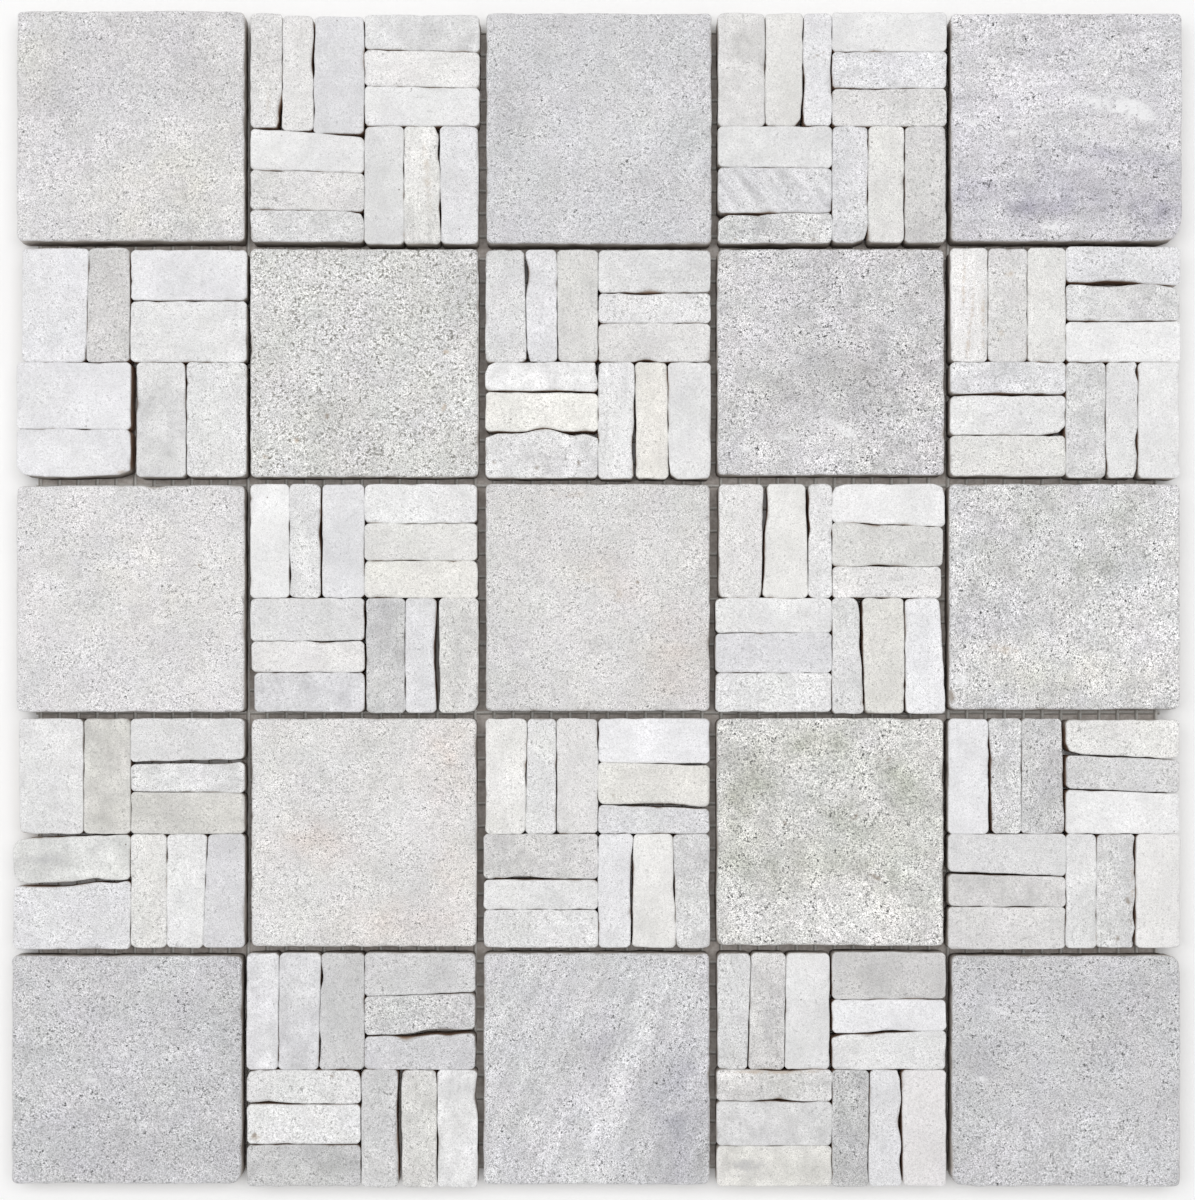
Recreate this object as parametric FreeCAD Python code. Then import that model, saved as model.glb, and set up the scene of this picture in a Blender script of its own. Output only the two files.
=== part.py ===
import FreeCAD, Part
import math
import os

from FreeCAD import Vector

# Mosaic tile sheet: tumbled pale quartzite on a glass-fibre backing mesh.
# A five by five chequer of large square tiles and basket-weave blocks, each block four
# quadrants of two or three bars. The sheet lies face up on its mesh.
# Millimetres. Origin: middle of the underside. +X across the sheet, +Y up the sheet, +Z the face.

# Driving dimensions
rows = 5
columns = 5
square_side = 59.2  # a large square tile, and the basket-weave block that stands in for one
joint_across = 1.85  # open joint between cells, measured along X
joint_along = 2.4  # open joint between cells, measured along Y
stone_thickness = 10.0
bar_gap = 0.35  # hairline between the bars of one block
arris = 0.5  # worn edge round the top and bottom of every stone
tile_corner = 1.4  # how far an upright corner of a square tile is worn back along its sides
bar_corner = 0.7  # the same on a bar
flat_count_tile = 3  # flats that turn one corner
flat_count_bar = 1
flat_count_flake = 2

yarn_width = 1.1
yarn_height = 0.25
lengthwise_pitch = 5.0  # spacing of the yarns that run along Y
crosswise_pitch = 6.0  # spacing of the yarns that run along X
mesh_inset_sides = 3.4  # least distance from the sheet's edge in to the last yarn, left and right
mesh_inset_ends = 1.6  # the same at top and bottom
yarn_tail = 0.6  # how far a cut yarn stands out past the last one that it crosses

# Worked out from them
pitch_across = square_side + joint_across
pitch_along = square_side + joint_along
sheet_width = columns * pitch_across - joint_across
sheet_length = rows * pitch_along - joint_along
stone_bottom = 2 * yarn_height


# Square tiles: how far each edge stands out of its cell, as a share of the joint beside it
# (negative where it stands back), in the order left, right, top, bottom.
square_tiles = {
    (1, 1): (0.0, 0.0, 0.15, 0.1),
    (1, 3): (-0.3, -0.1, -0.1, 0.4),
    (1, 5): (0.1, 0.35, -0.1, 0.1),
    (2, 2): (0.0, 0.0, -0.1, 0.1),
    (2, 4): (0.1, -0.2, -0.1, -0.1),
    (3, 1): (0.0, 0.0, -0.15, 0.0),
    (3, 3): (-0.2, -0.35, 0.0, -0.1),
    (3, 5): (0.35, 0.1, 0.0, -0.25),
    (4, 2): (-0.15, -0.25, 0.15, -0.15),
    (4, 4): (0.2, -0.35, 0.15, -0.25),
    (5, 1): (0.7, -0.4, 0.0, 0.0),
    (5, 3): (0.1, -0.35, 0.3, 0.1),
    (5, 5): (0.0, 0.1, 0.0, 0.3),
}


def flake(corner, level, upright):
    """A corner that has lost a flake, with how far back it is worn along its level and its
    upright side."""
    return {"corner": corner, "level": level, "upright": upright}


square_flakes = {
    (1, 5): [flake("bottom_right", 5.0, 6.0)],
    (5, 1): [flake("bottom_right", 3.2, 3.6)],
    (5, 5): [flake("top_right", 3.4, 3.4), flake("bottom_left", 4.0, 3.2)],
}


def bar(first, last, stands=0.0, gap=(1.0, 1.0), inner=0.0, worn=()):
    """One bar. first and last are its widths at the top and bottom end if it is upright, or at the
    left and right end if it is level. gap is the space after it at those two ends, in hairlines.
    stands moves its outer end, as a share of the joint there, and inner moves its inner end
    towards the block's middle, in hairlines. worn lists the corners that have lost a flake."""
    return {
        "first": first,
        "last": last,
        "stands": stands,
        "gap": gap,
        "inner": inner,
        "worn": worn,
    }


def quadrant(across, along, *bars, lead=(0.0, 0.0)):
    """A quarter of a block. across and along say how far its outer sides stand out of the cell,
    as shares of the joints there. Upright bars are listed left to right, level ones top down, and
    lead is the space before the first at its two ends, in hairlines."""
    return {"across": across, "along": along, "bars": bars, "lead": lead}


# Basket-weave blocks: upright bars top left and bottom right, level bars in the other two quarters
blocks = {
    (1, 2): {
        "top_left": quadrant(
            0.0,
            -0.1,
            bar(8.3, 8.1, inner=1.3, worn=[flake("bottom_right", 1.3, 7.5)]),
            bar(8.0, 8.0, -0.3, gap=(2.0, 1.0), inner=3.6),
            bar(13.0, 13.3, -0.35, inner=5.8),
        ),
        "top_right": quadrant(0.15, -0.3, bar(9.3, 9.7), bar(9.6, 9.4), bar(10.9, 9.9)),
        "bottom_left": quadrant(
            0.0,
            0.2,
            bar(10.7, 9.2),
            bar(10.2, 9.8),
            bar(8.3, 7.8, worn=[flake("top_right", 3.3, 2.2)]),
            lead=(1.4, 8.2),
        ),
        "bottom_right": quadrant(
            0.0,
            0.4,
            bar(10.1, 10.1),
            bar(9.2, 9.4, worn=[flake("top_right", 1.2, 8.0)]),
            bar(9.9, 9.7),
        ),
    },
    (1, 4): {
        "top_left": quadrant(
            0.0,
            -0.1,
            bar(11.7, 11.7, gap=(1.2, 1.2)),
            bar(9.4, 9.2, gap=(1.2, 1.6), worn=[flake("bottom_right", 1.8, 7.3)]),
            bar(7.0, 7.1),
        ),
        "top_right": quadrant(0.1, 0.0, bar(10.4, 10.4), bar(9.7, 9.7), bar(9.9, 9.9)),
        "bottom_left": quadrant(
            0.0,
            0.35,
            bar(10.4, 10.9),
            bar(11.7, 11.7),
            bar(7.8, 7.8, worn=[flake("top_left", 10.0, 2.3)]),
        ),
        "bottom_right": quadrant(
            0.0,
            0.3,
            bar(9.1, 8.9, worn=[flake("bottom_right", 3.6, 4.0)]),
            bar(9.1, 9.1, gap=(1.4, 1.4)),
            bar(10.4, 10.4),
        ),
    },
    (2, 1): {
        "top_left": quadrant(-0.75, 0.0, bar(16.7, 16.7), bar(9.9, 11.5, gap=(1.6, 1.6))),
        "top_right": quadrant(0.3, -0.2, bar(13.1, 13.1, gap=(1.4, 1.4)), bar(15.9, 15.9)),
        "bottom_left": quadrant(
            0.0,
            0.1,
            bar(17.2, 17.2),
            bar(12.3, 12.0, worn=[flake("bottom_left", 7.0, 2.6), flake("bottom_right", 11.0, 1.6)]),
        ),
        "bottom_right": quadrant(
            0.3, 0.1, bar(12.5, 12.5, gap=(1.8, 1.8)), bar(15.4, 15.4), lead=(4.4, 4.4)
        ),
    },
    (2, 3): {
        "top_left": quadrant(
            -0.15, -0.2, bar(9.7, 10.7, gap=(2.0, 1.2)), bar(7.8, 7.8), bar(10.4, 10.4)
        ),
        "top_right": quadrant(
            -0.2, -0.2, bar(11.2, 11.2, gap=(1.4, 1.4)), bar(7.8, 7.8), bar(10.2, 10.2)
        ),
        "bottom_left": quadrant(
            -0.15,
            0.2,
            bar(7.2, 7.7, gap=(1.4, 1.8), worn=[flake("top_left", 2.4, 3.0)]),
            bar(10.2, 10.2, gap=(1.8, 1.8)),
            bar(11.7, 11.7, worn=[flake("top_left", 11.5, 1.2), flake("top_right", 11.0, 1.3)]),
        ),
        "bottom_right": quadrant(
            -0.2,
            0.3,
            bar(9.1, 9.1, gap=(1.6, 1.8)),
            bar(8.1, 8.1),
            bar(11.0, 10.6, worn=[flake("bottom_left", 2.2, 4.4)]),
        ),
    },
    (2, 5): {
        "top_left": quadrant(0.2, 0.0, bar(9.7, 9.7), bar(10.2, 10.2), bar(9.9, 9.9)),
        "top_right": quadrant(
            0.1,
            0.15,
            bar(9.4, 10.2, gap=(2.4, 1.6)),
            bar(9.9, 9.1, gap=(1.8, 1.6), worn=[flake("top_right", 7.0, 1.8)]),
            bar(10.7, 10.7),
        ),
        "bottom_left": quadrant(
            0.2,
            0.0,
            bar(8.1, 8.1, gap=(1.8, 1.8)),
            bar(9.9, 9.9, gap=(1.4, 1.4), worn=[flake("bottom_right", 6.5, 2.4)]),
            bar(10.2, 10.2),
        ),
        "bottom_right": quadrant(
            0.0,
            0.2,
            bar(10.2, 10.2, gap=(1.4, 1.4)),
            bar(8.1, 8.1, gap=(1.2, 1.8), worn=[flake("bottom_right", 1.0, 9.0)]),
            bar(10.7, 10.7),
        ),
    },
    (3, 2): {
        "top_left": quadrant(0.0, 0.0, bar(10.2, 10.2), bar(8.1, 8.1, gap=(2.0, 2.4)), bar(11.0, 11.0)),
        "top_right": quadrant(-0.1, 0.0, bar(10.2, 10.2), bar(9.7, 9.7), bar(9.7, 9.7)),
        "bottom_left": quadrant(
            0.0, 0.0, bar(11.2, 11.0), bar(7.8, 8.0, -0.15), bar(10.2, 10.2, -0.55)
        ),
        "bottom_right": quadrant(
            0.0,
            0.1,
            bar(9.9, 9.9),
            bar(7.8, 7.8, gap=(3.0, 3.0)),
            bar(9.9, 9.9, worn=[flake("bottom_right", 3.8, 2.4)]),
            lead=(1.2, 1.2),
        ),
    },
    (3, 4): {
        "top_left": quadrant(
            -0.1,
            0.0,
            bar(11.2, 10.4, gap=(2.9, 2.2)),
            bar(9.9, 11.2, gap=(2.9, 1.2)),
            bar(5.7, 5.7),
        ),
        "top_right": quadrant(
            -0.15,
            0.0,
            bar(9.9, 11.2, worn=[flake("top_left", 3.3, 2.4), flake("top_right", 2.6, 3.4)]),
            bar(11.5, 10.2, -0.3),
            bar(8.1, 8.1, -0.55),
        ),
        "bottom_left": quadrant(0.35, 0.0, bar(8.6, 8.6), bar(9.9, 9.9), bar(9.7, 9.7)),
        "bottom_right": quadrant(
            -0.05,
            0.2,
            bar(6.8, 8.1, gap=(3.6, 1.6), worn=[flake("top_right", 1.3, 3.4)]),
            bar(10.7, 10.2, gap=(1.8, 1.8)),
            bar(8.9, 10.2, gap=(5.6, 1.0)),
        ),
    },
    (4, 1): {
        "top_left": quadrant(-0.4, 0.15, bar(16.7, 16.7, gap=(1.4, 1.4)), bar(12.0, 12.0)),
        "top_right": quadrant(
            0.0, 0.15, bar(11.0, 10.2, gap=(2.8, 2.8)), bar(6.8, 7.6), bar(10.7, 10.2)
        ),
        "bottom_left": quadrant(
            0.5,
            0.15,
            bar(
                11.5,
                11.6,
                gap=(3.2, 1.8),
                worn=[flake("top_left", 4.8, 2.2), flake("bottom_left", 3.0, 3.2)],
            ),
            bar(15.9, 17.8),
            lead=(3.5, 0.5),
        ),
        "bottom_right": quadrant(0.0, 0.0, bar(9.4, 9.4), bar(10.7, 9.4), bar(9.7, 11.0)),
    },
    (4, 3): {
        "top_left": quadrant(
            -0.2,
            0.15,
            bar(10.4, 9.9, gap=(1.4, 1.4)),
            bar(7.0, 7.6, gap=(1.4, 1.6)),
            bar(10.4, 10.4),
        ),
        "top_right": quadrant(
            -0.35,
            0.15,
            bar(11.2, 11.7, gap=(1.0, 1.6)),
            bar(10.4, 11.0, gap=(1.6, 2.0)),
            bar(7.3, 6.3),
        ),
        "bottom_left": quadrant(
            0.1, 0.0, bar(11.7, 11.7, gap=(1.8, 1.8)), bar(7.6, 7.6), bar(9.9, 9.9)
        ),
        "bottom_right": quadrant(
            -0.35, 0.0, bar(8.9, 8.1, gap=(1.4, 2.0)), bar(9.9, 11.5), bar(9.4, 8.4)
        ),
    },
    (4, 5): {
        "top_left": quadrant(
            0.5,
            0.15,
            bar(10.2, 10.2, gap=(1.0, 3.8)),
            bar(8.4, 7.3),
            bar(10.2, 11.0, gap=(4.1, 1.9)),
        ),
        "top_right": quadrant(
            0.0,
            0.0,
            bar(
                8.6,
                10.2,
                gap=(2.2, 1.6),
                worn=[flake("bottom_left", 4.2, 2.6), flake("bottom_right", 4.0, 1.3)],
            ),
            bar(8.6, 8.4, gap=(2.0, 1.4)),
            bar(11.5, 10.4),
        ),
        "bottom_left": quadrant(
            0.5, 0.15, bar(9.7, 11.0, gap=(2.8, 1.6)), bar(8.4, 7.8), bar(11.0, 11.0)
        ),
        "bottom_right": quadrant(
            0.1, 0.0, bar(7.8, 7.8), bar(9.9, 9.9, gap=(1.6, 1.6)), bar(11.5, 11.5)
        ),
    },
    (5, 2): {
        "top_left": quadrant(
            0.5, 0.3, bar(8.1, 7.8, gap=(1.6, 1.0)), bar(10.4, 10.2), bar(11.0, 11.7)
        ),
        "top_right": quadrant(
            -0.4,
            0.3,
            bar(11.0, 9.7, gap=(1.4, 1.4)),
            bar(9.9, 8.9, gap=(1.8, 3.8)),
            bar(8.4, 8.9),
        ),
        "bottom_left": quadrant(
            0.5,
            0.3,
            bar(
                8.4,
                8.4,
                gap=(1.6, 1.4),
                inner=-2.7,
                worn=[flake("top_left", 2.6, 2.2), flake("top_right", 2.6, 2.2)],
            ),
            bar(9.9, 9.9, gap=(1.4, 1.6), inner=-2.7),
            bar(10.4, 10.4, inner=-2.7),
        ),
        "bottom_right": quadrant(
            -0.1,
            0.4,
            bar(9.4, 9.4, gap=(3.0, 2.8)),
            bar(8.9, 8.9, gap=(1.4, 1.4)),
            bar(10.2, 10.2),
            lead=(-2.2, -2.2),
        ),
    },
    (5, 4): {
        "top_left": quadrant(
            0.1,
            0.3,
            bar(8.4, 7.3, gap=(1.4, 1.2)),
            bar(8.6, 8.6, gap=(1.4, 1.4)),
            bar(10.9, 10.9, gap=(2.8, 2.8)),
        ),
        "top_right": quadrant(
            0.0,
            0.4,
            bar(12.0, 12.0, gap=(1.2, 1.2)),
            bar(8.4, 7.8, gap=(1.6, 1.2)),
            bar(8.9, 9.9, worn=[flake("top_left", 9.0, 1.0)]),
        ),
        "bottom_left": quadrant(0.2, 0.3, bar(7.8, 7.8), bar(11.2, 11.2), bar(10.2, 10.2)),
        "bottom_right": quadrant(
            0.0,
            0.3,
            bar(9.4, 9.4, gap=(1.4, 1.2)),
            bar(7.8, 8.6, gap=(1.4, 2.4), worn=[flake("top_right", 0.9, 8.0)]),
            bar(11.2, 11.2),
        ),
    },
}


# Outlines. Corners run anticlockwise from the bottom left one.
corner_names = ("bottom_left", "bottom_right", "top_right", "top_left")


def cell_centre(row, column):
    """The middle of a cell, with row 1 at the top and column 1 at the left."""
    x = (column - (columns + 1) / 2) * pitch_across
    y = ((rows + 1) / 2 - row) * pitch_along
    return x, y


def worn_outline(corners, size, flats, worn):
    """A closed wire round a stone. Flats turn every corner, on the curve that is tangent to both of
    its sides and starts size back along them. worn lists the corners that have lost a flake."""
    lost = {one["corner"]: one for one in worn}
    points = []
    for index, name in enumerate(corner_names):
        corner = corners[index]
        before = (corners[index - 1] - corner).normalize()
        after = (corners[(index + 1) % len(corners)] - corner).normalize()
        back, ahead, count = size, size, flats
        if name in lost:
            sides = ("upright", "level") if name in ("bottom_left", "top_right") else ("level", "upright")
            back, ahead = lost[name][sides[0]], lost[name][sides[1]]
            count = max(flats, flat_count_flake)
        start = corner + before * back
        end = corner + after * ahead
        for step in range(count + 1):
            t = step / count
            points.append(start * (1 - t) ** 2 + corner * 2 * t * (1 - t) + end * t ** 2)
    return Part.makePolygon(points + points[:1])


def stone(outline):
    """A stone raised from its outline, with the worn arris round both faces."""
    block = Part.Face(outline).extrude(Vector(0, 0, stone_thickness))
    rims = []
    for edge in block.Edges:
        if abs(edge.BoundBox.ZLength) < arris / 2:
            rims.append(edge)
    return block.makeChamfer(arris, rims)


def square_tile(row, column):
    """A large square tile, its four sides set a little in or out of the cell."""
    x, y = cell_centre(row, column)
    left, right, top, bottom = square_tiles[row, column]
    x_min = x - square_side / 2 - left * joint_across
    x_max = x + square_side / 2 + right * joint_across
    y_min = y - square_side / 2 - bottom * joint_along
    y_max = y + square_side / 2 + top * joint_along
    corners = [
        Vector(x_min, y_min, stone_bottom),
        Vector(x_max, y_min, stone_bottom),
        Vector(x_max, y_max, stone_bottom),
        Vector(x_min, y_max, stone_bottom),
    ]
    worn = square_flakes.get((row, column), ())
    return stone(worn_outline(corners, tile_corner, flat_count_tile, worn))


def spans(quarter, end, room):
    """Where each bar starts and stops along one end of its quadrant, 0 for the first end and 1 for
    the last. The widths are fitted to the room that the gaps leave, so the run always fills it.
    The room already leaves one hairline after the last bar."""
    bars = quarter["bars"]
    widths = [one[("first", "last")[end]] for one in bars]
    gaps = [bar_gap * one["gap"][end] for one in bars]
    gaps[-1] -= bar_gap
    place = bar_gap * quarter["lead"][end]
    fit = (room - place - sum(gaps)) / sum(widths)
    starts = []
    for width, gap in zip(widths, gaps):
        starts.append((place, place + width * fit))
        place += width * fit + gap
    return starts


def bar_stone(one, corners):
    return stone(worn_outline(corners, bar_corner, flat_count_bar, one["worn"]))


def upright_bars(quarter, x_min, x_max, y_min, y_max, outer_is_top):
    """Bars that run along Y, laid from left to right."""
    top_spans = spans(quarter, 0, x_max - x_min)
    bottom_spans = spans(quarter, 1, x_max - x_min)
    stones = []
    for one, top, bottom in zip(quarter["bars"], top_spans, bottom_spans):
        outer = one["stands"] * joint_along
        inner = one["inner"] * bar_gap
        y_top = y_max + (outer if outer_is_top else inner)
        y_bottom = y_min - (inner if outer_is_top else outer)
        corners = [
            Vector(x_min + bottom[0], y_bottom, stone_bottom),
            Vector(x_min + bottom[1], y_bottom, stone_bottom),
            Vector(x_min + top[1], y_top, stone_bottom),
            Vector(x_min + top[0], y_top, stone_bottom),
        ]
        stones.append(bar_stone(one, corners))
    return stones


def level_bars(quarter, x_min, x_max, y_min, y_max, outer_is_right):
    """Bars that run along X, laid from the top down."""
    left_spans = spans(quarter, 0, y_max - y_min)
    right_spans = spans(quarter, 1, y_max - y_min)
    stones = []
    for one, left, right in zip(quarter["bars"], left_spans, right_spans):
        outer = one["stands"] * joint_across
        inner = one["inner"] * bar_gap
        x_right = x_max + (outer if outer_is_right else inner)
        x_left = x_min - (inner if outer_is_right else outer)
        corners = [
            Vector(x_left, y_max - left[1], stone_bottom),
            Vector(x_right, y_max - right[1], stone_bottom),
            Vector(x_right, y_max - right[0], stone_bottom),
            Vector(x_left, y_max - left[0], stone_bottom),
        ]
        stones.append(bar_stone(one, corners))
    return stones


def bar_block(row, column):
    """A basket-weave block: four quadrants of bars round the cell's middle."""
    x, y = cell_centre(row, column)
    stones = []
    for name, quarter in blocks[row, column].items():
        at_top = name.startswith("top")
        at_right = name.endswith("right")
        reach_x = square_side / 2 + quarter["across"] * joint_across
        reach_y = square_side / 2 + quarter["along"] * joint_along
        x_min = x + bar_gap / 2 if at_right else x - reach_x
        x_max = x + reach_x if at_right else x - bar_gap / 2
        y_min = y + bar_gap / 2 if at_top else y - reach_y
        y_max = y + reach_y if at_top else y - bar_gap / 2
        if at_top == at_right:
            stones += level_bars(quarter, x_min, x_max, y_min, y_max, at_right)
        else:
            stones += upright_bars(quarter, x_min, x_max, y_min, y_max, at_top)
    return Part.makeCompound(stones)


def yarn_places(length, pitch):
    """Centre lines of the yarns that fit in a length, spread about its middle."""
    count = int(math.floor((length - yarn_width) / pitch)) + 1
    return [(index - (count - 1) / 2) * pitch for index in range(count)]


lengthwise_places = yarn_places(sheet_width - 2 * mesh_inset_sides, lengthwise_pitch)
crosswise_places = yarn_places(sheet_length - 2 * mesh_inset_ends, crosswise_pitch)


def crosswise_yarns():
    """The lower layer of the backing mesh, which lies on the floor. Its yarns don't touch."""
    length = 2 * (lengthwise_places[-1] + yarn_width / 2 + yarn_tail)
    yarns = []
    for y in crosswise_places:
        corner = Vector(-length / 2, y - yarn_width / 2, 0)
        yarns.append(Part.makeBox(length, yarn_width, yarn_height, corner))
    return Part.makeCompound(yarns)


def lengthwise_yarns():
    """The upper layer, between the lower one and the stones."""
    length = 2 * (crosswise_places[-1] + yarn_width / 2 + yarn_tail)
    yarns = []
    for x in lengthwise_places:
        corner = Vector(x - yarn_width / 2, -length / 2, yarn_height)
        yarns.append(Part.makeBox(yarn_width, length, yarn_height, corner))
    return Part.makeCompound(yarns)


def write_part(name, shape):
    shape.exportStep("parts/" + name + ".step")


os.makedirs("parts", exist_ok=True)

for row, column in square_tiles:
    write_part(f"square_tile_r{row}c{column}", square_tile(row, column))

for row, column in blocks:
    write_part(f"bar_block_r{row}c{column}", bar_block(row, column))

write_part("mesh_yarns_crosswise", crosswise_yarns())
write_part("mesh_yarns_lengthwise", lengthwise_yarns())
print("parts written:", len(square_tiles) + len(blocks) + 2)
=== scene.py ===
import bmesh
import bpy
import math
import numpy as np
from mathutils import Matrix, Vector
from mathutils.geometry import delaunay_2d_cdt


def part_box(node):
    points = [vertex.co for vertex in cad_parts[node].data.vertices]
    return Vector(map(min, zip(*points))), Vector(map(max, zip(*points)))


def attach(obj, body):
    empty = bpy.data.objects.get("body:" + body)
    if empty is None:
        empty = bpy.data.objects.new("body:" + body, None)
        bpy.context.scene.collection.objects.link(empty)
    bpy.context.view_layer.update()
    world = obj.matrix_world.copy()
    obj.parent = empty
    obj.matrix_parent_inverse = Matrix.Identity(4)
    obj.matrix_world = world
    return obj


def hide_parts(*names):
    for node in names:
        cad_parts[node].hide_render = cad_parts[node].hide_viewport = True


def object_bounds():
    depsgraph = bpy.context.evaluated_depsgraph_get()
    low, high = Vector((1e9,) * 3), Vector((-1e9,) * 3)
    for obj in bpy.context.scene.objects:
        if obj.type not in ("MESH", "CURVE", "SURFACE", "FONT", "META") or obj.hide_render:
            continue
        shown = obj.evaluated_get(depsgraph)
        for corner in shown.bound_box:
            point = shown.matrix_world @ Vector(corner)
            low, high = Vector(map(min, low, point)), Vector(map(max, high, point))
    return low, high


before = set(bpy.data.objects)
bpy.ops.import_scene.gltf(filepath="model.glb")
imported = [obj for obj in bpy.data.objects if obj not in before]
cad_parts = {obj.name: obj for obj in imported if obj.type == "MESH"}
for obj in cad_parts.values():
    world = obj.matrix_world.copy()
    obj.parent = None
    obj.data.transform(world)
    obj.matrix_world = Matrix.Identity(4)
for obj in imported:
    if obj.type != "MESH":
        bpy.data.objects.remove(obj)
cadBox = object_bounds()
print("frame loaded:", len(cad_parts), "nodes")


def placed(name, data):  # a new object, put in the scene
    thing = bpy.data.objects.new(name, data)
    bpy.context.scene.collection.objects.link(thing)
    return thing


# camera: straight above, a little low and left of the middle, with the picture shifted back

photoView = {
    "imageWide": 1195,
    "imageHigh": 1200,
    "metresPerPixel": 0.000261,  # on the stone faces
    "sheetMiddle": (598.2, 597.9),  # where the frame's origin falls in the picture
    "belowLens": (570.0, 715.0),  # the point that shows no side of any stone
    "lensHeight": 0.74,  # above the stone faces
    "sensor": 36.0,
    "clipStart": 0.01,
}


def makeCamera(view):
    scale = view["metresPerPixel"]
    middleX, middleY = view["sheetMiddle"]
    lensX = (view["belowLens"][0] - middleX) * scale
    lensY = (middleY - view["belowLens"][1]) * scale
    imageX = (view["imageWide"] / 2 - middleX) * scale
    imageY = (middleY - view["imageHigh"] / 2) * scale
    seenHigh = view["imageHigh"] * scale  # the longer side fits the sensor
    data = bpy.data.cameras.new("photoCamera")
    data.sensor_width = view["sensor"]
    data.lens = view["sensor"] * view["lensHeight"] / seenHigh
    data.shift_x = (imageX - lensX) / seenHigh
    data.shift_y = (imageY - lensY) / seenHigh
    data.clip_start = view["clipStart"]
    camera = placed("photoCamera", data)
    camera.location = (lensX, lensY, cadBox[1][2] + view["lensHeight"])
    bpy.context.scene.camera = camera


makeCamera(photoView)
print("camera placed")


# shader nodes written as sums

class Wire:  # an output socket, or with no socket the tree itself
    def __init__(self, tree, socket=None):
        self.tree = tree
        self.socket = socket

    def node(self, kind, settings, sockets, take=0):
        made = self.tree.nodes.new("ShaderNode" + kind)
        for name, value in settings.items():
            setattr(made, name, value)
        for key, value in sockets.items():
            if isinstance(value, Wire):
                self.tree.links.new(value.socket, made.inputs[key])
            else:
                made.inputs[key].default_value = value
        return Wire(self.tree, made.outputs[take])

    def feed(self, socket):  # into a socket of the shader
        self.tree.links.new(self.socket, socket)

    def sum(self, first, second, operation):  # a colour's goes through Mix, a vector's through Vector Math
        kinds = [side.socket.type for side in (first, second) if isinstance(side, Wire)]
        if "RGBA" in kinds:
            first, second = [
                side if isinstance(side, Wire) else (side, side, side, 1.0) for side in (first, second)
            ]
            settings = {"data_type": "RGBA", "blend_type": operation}
            return self.node("Mix", settings, {0: 1.0, 6: first, 7: second}, 2)
        kind = "VectorMath" if "VECTOR" in kinds else "Math"
        return self.node(kind, {"operation": operation}, {0: first, 1: second})

    def __add__(self, other):
        return self.sum(self, other, "ADD")

    def __radd__(self, other):
        return self.sum(other, self, "ADD")

    def __sub__(self, other):
        return self.sum(self, other, "SUBTRACT")

    def __rsub__(self, other):
        return self.sum(other, self, "SUBTRACT")

    def __mul__(self, other):
        return self.sum(self, other, "MULTIPLY")

    def __rmul__(self, other):
        return self.sum(other, self, "MULTIPLY")


def noise(tree, place, size, detail, roughness):  # size is of one blotch, in metres
    sockets = {"Vector": place, "Scale": 1.0 / size, "Detail": detail, "Roughness": roughness}
    return tree.node("TexNoise", {}, sockets, "Fac")


def step(tree, value, low, high):  # 0 below low, 1 above high, smooth between
    settings = {"interpolation_type": "SMOOTHSTEP"}
    return tree.node("MapRange", settings, {"Value": value, "From Min": low, "From Max": high})


def blend(tree, factor, first, second):  # from the first colour to the second
    return tree.node("Mix", {"data_type": "RGBA"}, {0: factor, 6: first, 7: second}, 2)


def attribute(tree, name, take):
    return tree.node("Attribute", {"attribute_name": name}, {}, take)


def split(tree, name):  # the four channels of a painted layer
    colour = attribute(tree, name, "Color")
    channels = [tree.node("SeparateColor", {}, {0: colour}, index) for index in range(3)]
    return channels + [attribute(tree, name, "Alpha")]


def relief(tree, height, strength, depth):  # for the shader's normal
    return tree.node("Bump", {}, {"Strength": strength, "Distance": depth, "Height": height}, "Normal")


def newMaterial(name):  # with its tree and its shader's sockets
    material = bpy.data.materials.new(name)
    material.use_nodes = True
    return material, Wire(material.node_tree), material.node_tree.nodes["Principled BSDF"].inputs


def shown(red, green, blue):  # a colour as a screen shows it, 0 to 255, made linear
    def linear(value):
        value = value / 255
        return value / 12.92 if value <= 0.04045 else ((value + 0.055) / 1.055) ** 2.4

    return (linear(red), linear(green), linear(blue), 1.0)


# stone finish, shared by the square tiles and the bars

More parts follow.
